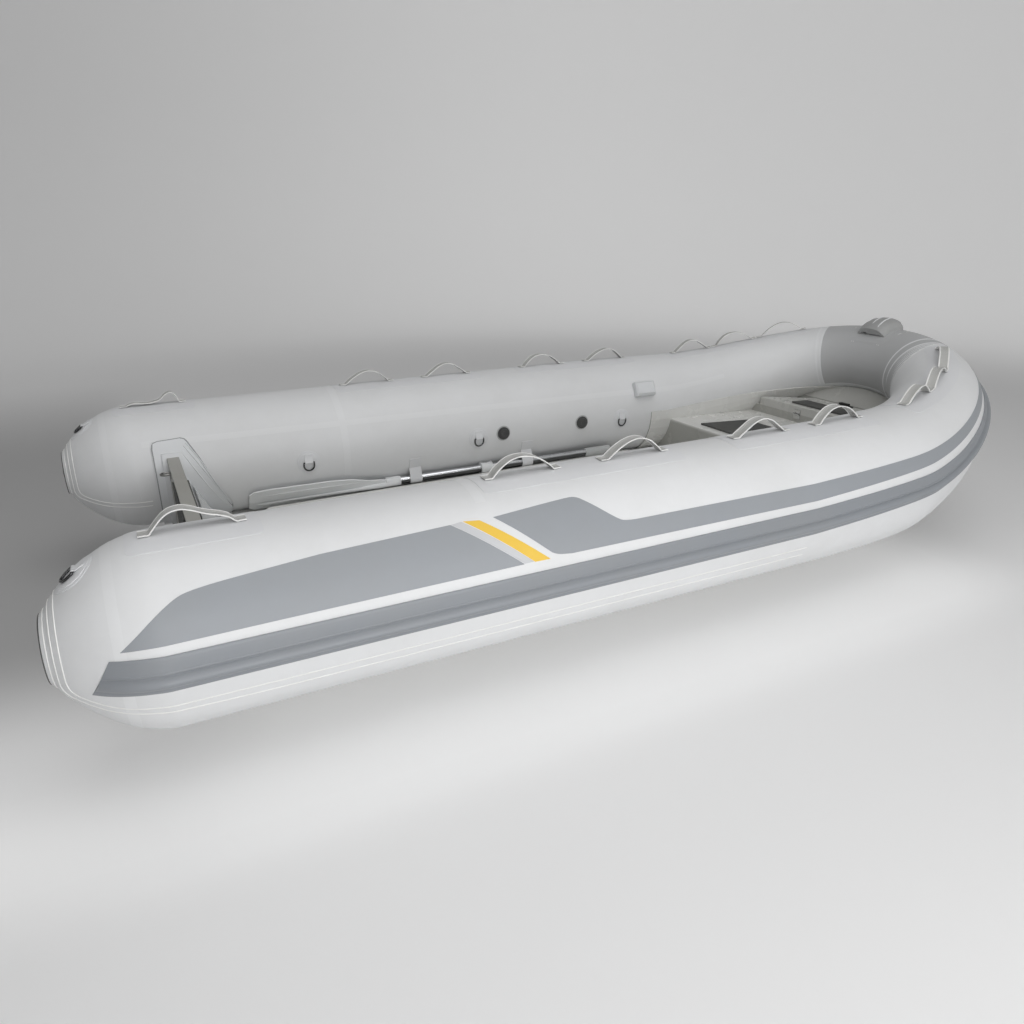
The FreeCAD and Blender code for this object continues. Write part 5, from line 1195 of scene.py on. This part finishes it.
# %% Holder shell
HOLDER_EDGE = ((0.3325, 152), (0.3345, 149), (0.340, 146.8), (0.3576, 145.4), (0.4045, 145.0),
               (0.4413, 144.5), (0.4560, 145.7), (0.4650, 148.6), (0.5000, 165.1), (0.6015, 221.1))
HOLDER_RIBS = (((0.4483, 152.5), (0.5243, 183.3), (0.5969, 218)),
               ((0.4360, 157.5), (0.5126, 190.8), (0.5800, 219)),
               ((0.4570, 150.0), (0.4900, 163.0), (0.5960, 215)))
HOLDER_INBOARD, HOLDER_CORNER, HOLDER_REACH, HOLDER_RIB = 224, 0.44, 0.25, 0.0048
RIM_TOP, FACE_TOP, FACE_INSET = 0.0088, 0.0096, 0.0035
HOLDER_LAYERS = (("rim", 0.0, RIM_TOP, holder_edge), ("face", FACE_INSET, FACE_TOP, holder_plastic))


def holder_columns(inset):
    """Columns from the holder's upper edge, moved in by the inset, to the deck."""
    upper = []
    for run, angle in HOLDER_EDGE:
        back = inset if run > HOLDER_CORNER else 0
        upper.append((max(run, HOLDER_EDGE[0][0] + inset) - back, angle + math.degrees(inset / HOLDER_REACH)))
    ends = [(upper[0][0], HOLDER_INBOARD), (upper[-1][0], HOLDER_INBOARD)]
    return [(run, low, HOLDER_INBOARD) for run, low, high in columns_between(upper, ends)]


for side_name, side in SIDES:
    for part, inset, top, plastic in HOLDER_LAYERS:
        sheet_on_tube(f"holder_{part}_{side_name}", holder_columns(inset), plastic, side, top, 24,
                      slot="holder_moulding")
    for k, line in enumerate(HOLDER_RIBS):
        spots = [on_tube(run, angle, FACE_TOP, side) for run, angle in fine_line(line, 0.01)]
        pipe(f"holder_rib_{side_name}_{k + 1}", spots, HOLDER_RIB, holder_plastic, slot="holder_moulding")
print("holders ribbed")

# %% [markdown]
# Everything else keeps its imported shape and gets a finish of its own: the moulded liner and
# hull, the transom and its holders, the pads, the hinges, the oars and the small fittings.

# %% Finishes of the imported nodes
NODE_FINISHES = (
    (hull_gelcoat, ("hull_bottom",)),
    (gelcoat, ("deck_liner",)),
    (lid_painted_shade_gelcoat, ("bow_locker_lid",)),
    (guard_rubber, ("keel_guard",)),
    (pad_rubber, ("step_pad", "lid_pad", "engine_pads")),
    (black_plastic, ("lid_latch",)),
    (steel, ("bow_eye", "lid_hinges_lower", "lid_hinges_upper")),
    (eye_steel, ("transom_eyes",)),
    (transom_paint, ("transom_board",)),
    (holder_plastic, ("transom_holder_port", "transom_holder_stbd", "seat_mount_port", "seat_mount_stbd")),
    (oar_plastic, ("oar_blade_port", "oar_blade_stbd", "oar_collar_port", "oar_collar_stbd")),
    (oar_metal, ("oar_shaft_port", "oar_shaft_stbd")),
    (handle_plastic, ("oar_grip_port", "oar_grip_stbd")),
    (patch_fabric, ("oar_straps_port", "oar_straps_stbd")),
)
for material, names in NODE_FINISHES:
    for name in names:
        mesh = nodes[name].data
        mesh.materials.clear()
        mesh.materials.append(material)
print("finished", sum(len(names) for material, names in NODE_FINISHES), "packed nodes")

# %% [markdown]
# The stage is a round studio cove: a pale floor that curves up into a wall on all sides, so
# no horizon shows from any camera. Its paint is greyer astern of the boat, a painted shadow of the
# boat, and in front of the lamp. Its wall and a strip beside the tube glow a little, for the camera
# and gloss only; the strip's glow is painted light that lifts the boat's shadow beside the tube.

# %% Stage
# The astern tone is a painted shadow: the floor astern of the boat is painted darker where the boat's shade
# falls.
FLOOR_TONE, ASTERN_SHADOW_TONE, LAMP_TONE = srgb(243, 243, 243), srgb(188, 188, 188), srgb(128, 128, 128)
# Where each change of tone starts and ends, in metres
ASTERN_SHADOW_X, ASTERN_SHADOW_NEAR_Y, ASTERN_SHADOW_FAR_Y, LAMP_Y = (-1.25, -2.0), (-1.05, 0.0), (5.5, 2.6), (-2.9, -4.2)
WALL_REACH, WALL_X, WALL_GLOW = (4.5, 8.5), (-4.5, 6.0), (0.03, 0.20)
BESIDE_NEAR_Y, BESIDE_FAR_Y, BESIDE_X, BESIDE_GLOW = (-1.3, -0.8), (0.2, -0.5), (1.6, 1.0), (0.0, 0.19)
COVE_FLAT, COVE_BEND, COVE_STEPS, COVE_SECTORS = 7.0, 3.0, 16, 96


def paint_floor():
    material, tree, shader, where = new_material("floor_paint")
    place = split_axes(tree, where.outputs["Object"])

    def step(value, ends, between=(0.0, 1.0)):
        return ramp_node(tree, value, *ends, *between, "SMOOTHSTEP")

    def product(*factors):
        result = factors[0]
        for factor in factors[1:]:
            result = math_node(tree, "MULTIPLY", result, factor)
        return result
    x, y = place["X"], place["Y"]
    astern_shadow = product(step(y, ASTERN_SHADOW_NEAR_Y), step(y, ASTERN_SHADOW_FAR_Y), step(x, ASTERN_SHADOW_X))
    paint = mix_colours(tree, astern_shadow, FLOOR_TONE, ASTERN_SHADOW_TONE)
    paint = mix_colours(tree, step(y, LAMP_Y), paint, LAMP_TONE)
    path = add_node(tree, "ShaderNodeLightPath")
    seen = math_node(tree, "ADD", path.outputs["Is Camera Ray"], path.outputs["Is Glossy Ray"], clamp=True)
    seen = math_node(tree, "ADD", seen, path.outputs["Is Transmission Ray"], clamp=True)
    far = add_node(tree, "ShaderNodeVectorMath", operation="LENGTH")
    feed(far.inputs[0], where.outputs["Object"])
    wall = product(step(far.outputs["Value"], WALL_REACH), seen, step(x, WALL_X, WALL_GLOW))
    # Painted light: the strip beside the tube glows, lifting the boat's shadow on the floor there.
    beside = product(step(y, BESIDE_NEAR_Y), step(y, BESIDE_FAR_Y), step(x, BESIDE_X, BESIDE_GLOW), seen)
    set_inputs(shader, Base_Color=paint, Roughness=0.85, Emission_Color=(1, 1, 1, 1),
               Emission_Strength=math_node(tree, "ADD", wall, beside))
    return material


def add_stage():
    profile = [(0.001, 0.0), (2.0, 0.0), (4.5, 0.0), (COVE_FLAT, 0.0)]
    for i in range(1, COVE_STEPS + 1):
        turn = math.pi / 2 * i / COVE_STEPS
        profile.append((COVE_FLAT + COVE_BEND * math.sin(turn), COVE_BEND - COVE_BEND * math.cos(turn)))
    profile += [(COVE_FLAT + COVE_BEND, 4.5), (COVE_FLAT + COVE_BEND, 6.0)]
    turns = [math.tau * k / COVE_SECTORS for k in range(COVE_SECTORS)]
    points = [(reach * math.cos(turn), reach * math.sin(turn), z) for reach, z in profile for turn in turns]
    faces = grid_faces(len(profile), COVE_SECTORS, wrap=True) + [tuple(range(COVE_SECTORS))]
    mesh = bpy.data.meshes.new("floor")
    mesh.from_pydata(points, [], faces)
    for polygon in mesh.polygons:
        polygon.use_smooth = True
    cove = bpy.data.objects.new("floor", mesh)
    scene.collection.objects.link(cove)
    mesh.materials.append(paint_floor())


add_stage()
print("stage painted")

# %% [markdown]
# The light is a studio's: one very large soft box on the photographer's side, a second above,
# and a plain pale world for the rest. Large lamps give the soft, close shadow under the hull.

# %% Light
WORLD_BACK, WORLD_FRONT, WORLD_TURN = 0.14, 0.42, (0.7, -0.6)


def add_softbox(name, spot, target, wide, tall, watts):
    lamp = bpy.data.lights.new(name, "AREA")
    lamp.shape = "RECTANGLE"
    lamp.size, lamp.size_y, lamp.energy = wide, tall, watts
    box = bpy.data.objects.new(name, lamp)
    box.location = spot
    box.rotation_euler = (Vector(target) - Vector(spot)).to_track_quat("-Z", "Y").to_euler()
    scene.collection.objects.link(box)


def add_world():
    """Pale world, brighter on the photographer's side."""
    world = bpy.data.worlds.new("studio")
    world.use_nodes = True
    tree = world.node_tree
    direction = split_axes(tree, add_node(tree, "ShaderNodeTexCoord").outputs["Generated"])
    light = ramp_node(tree, direction["Y"], *WORLD_TURN, WORLD_BACK, WORLD_FRONT, "SMOOTHSTEP")
    set_inputs(tree.nodes["Background"], Color=(1, 1, 1, 1), Strength=light)
    scene.world = world


add_softbox("softbox_front", spot=(-0.6, -4.8, 1.5), target=(-0.1, 0, 0.3), wide=4.0, tall=2.2, watts=112)
add_softbox("softbox_top", spot=(-0.4, -1.8, 5.0), target=(-0.2, 0, 0.3), wide=4.5, tall=4.5, watts=74)
add_world()
scene.view_settings.view_transform = "Standard"
print("lamps and world set")
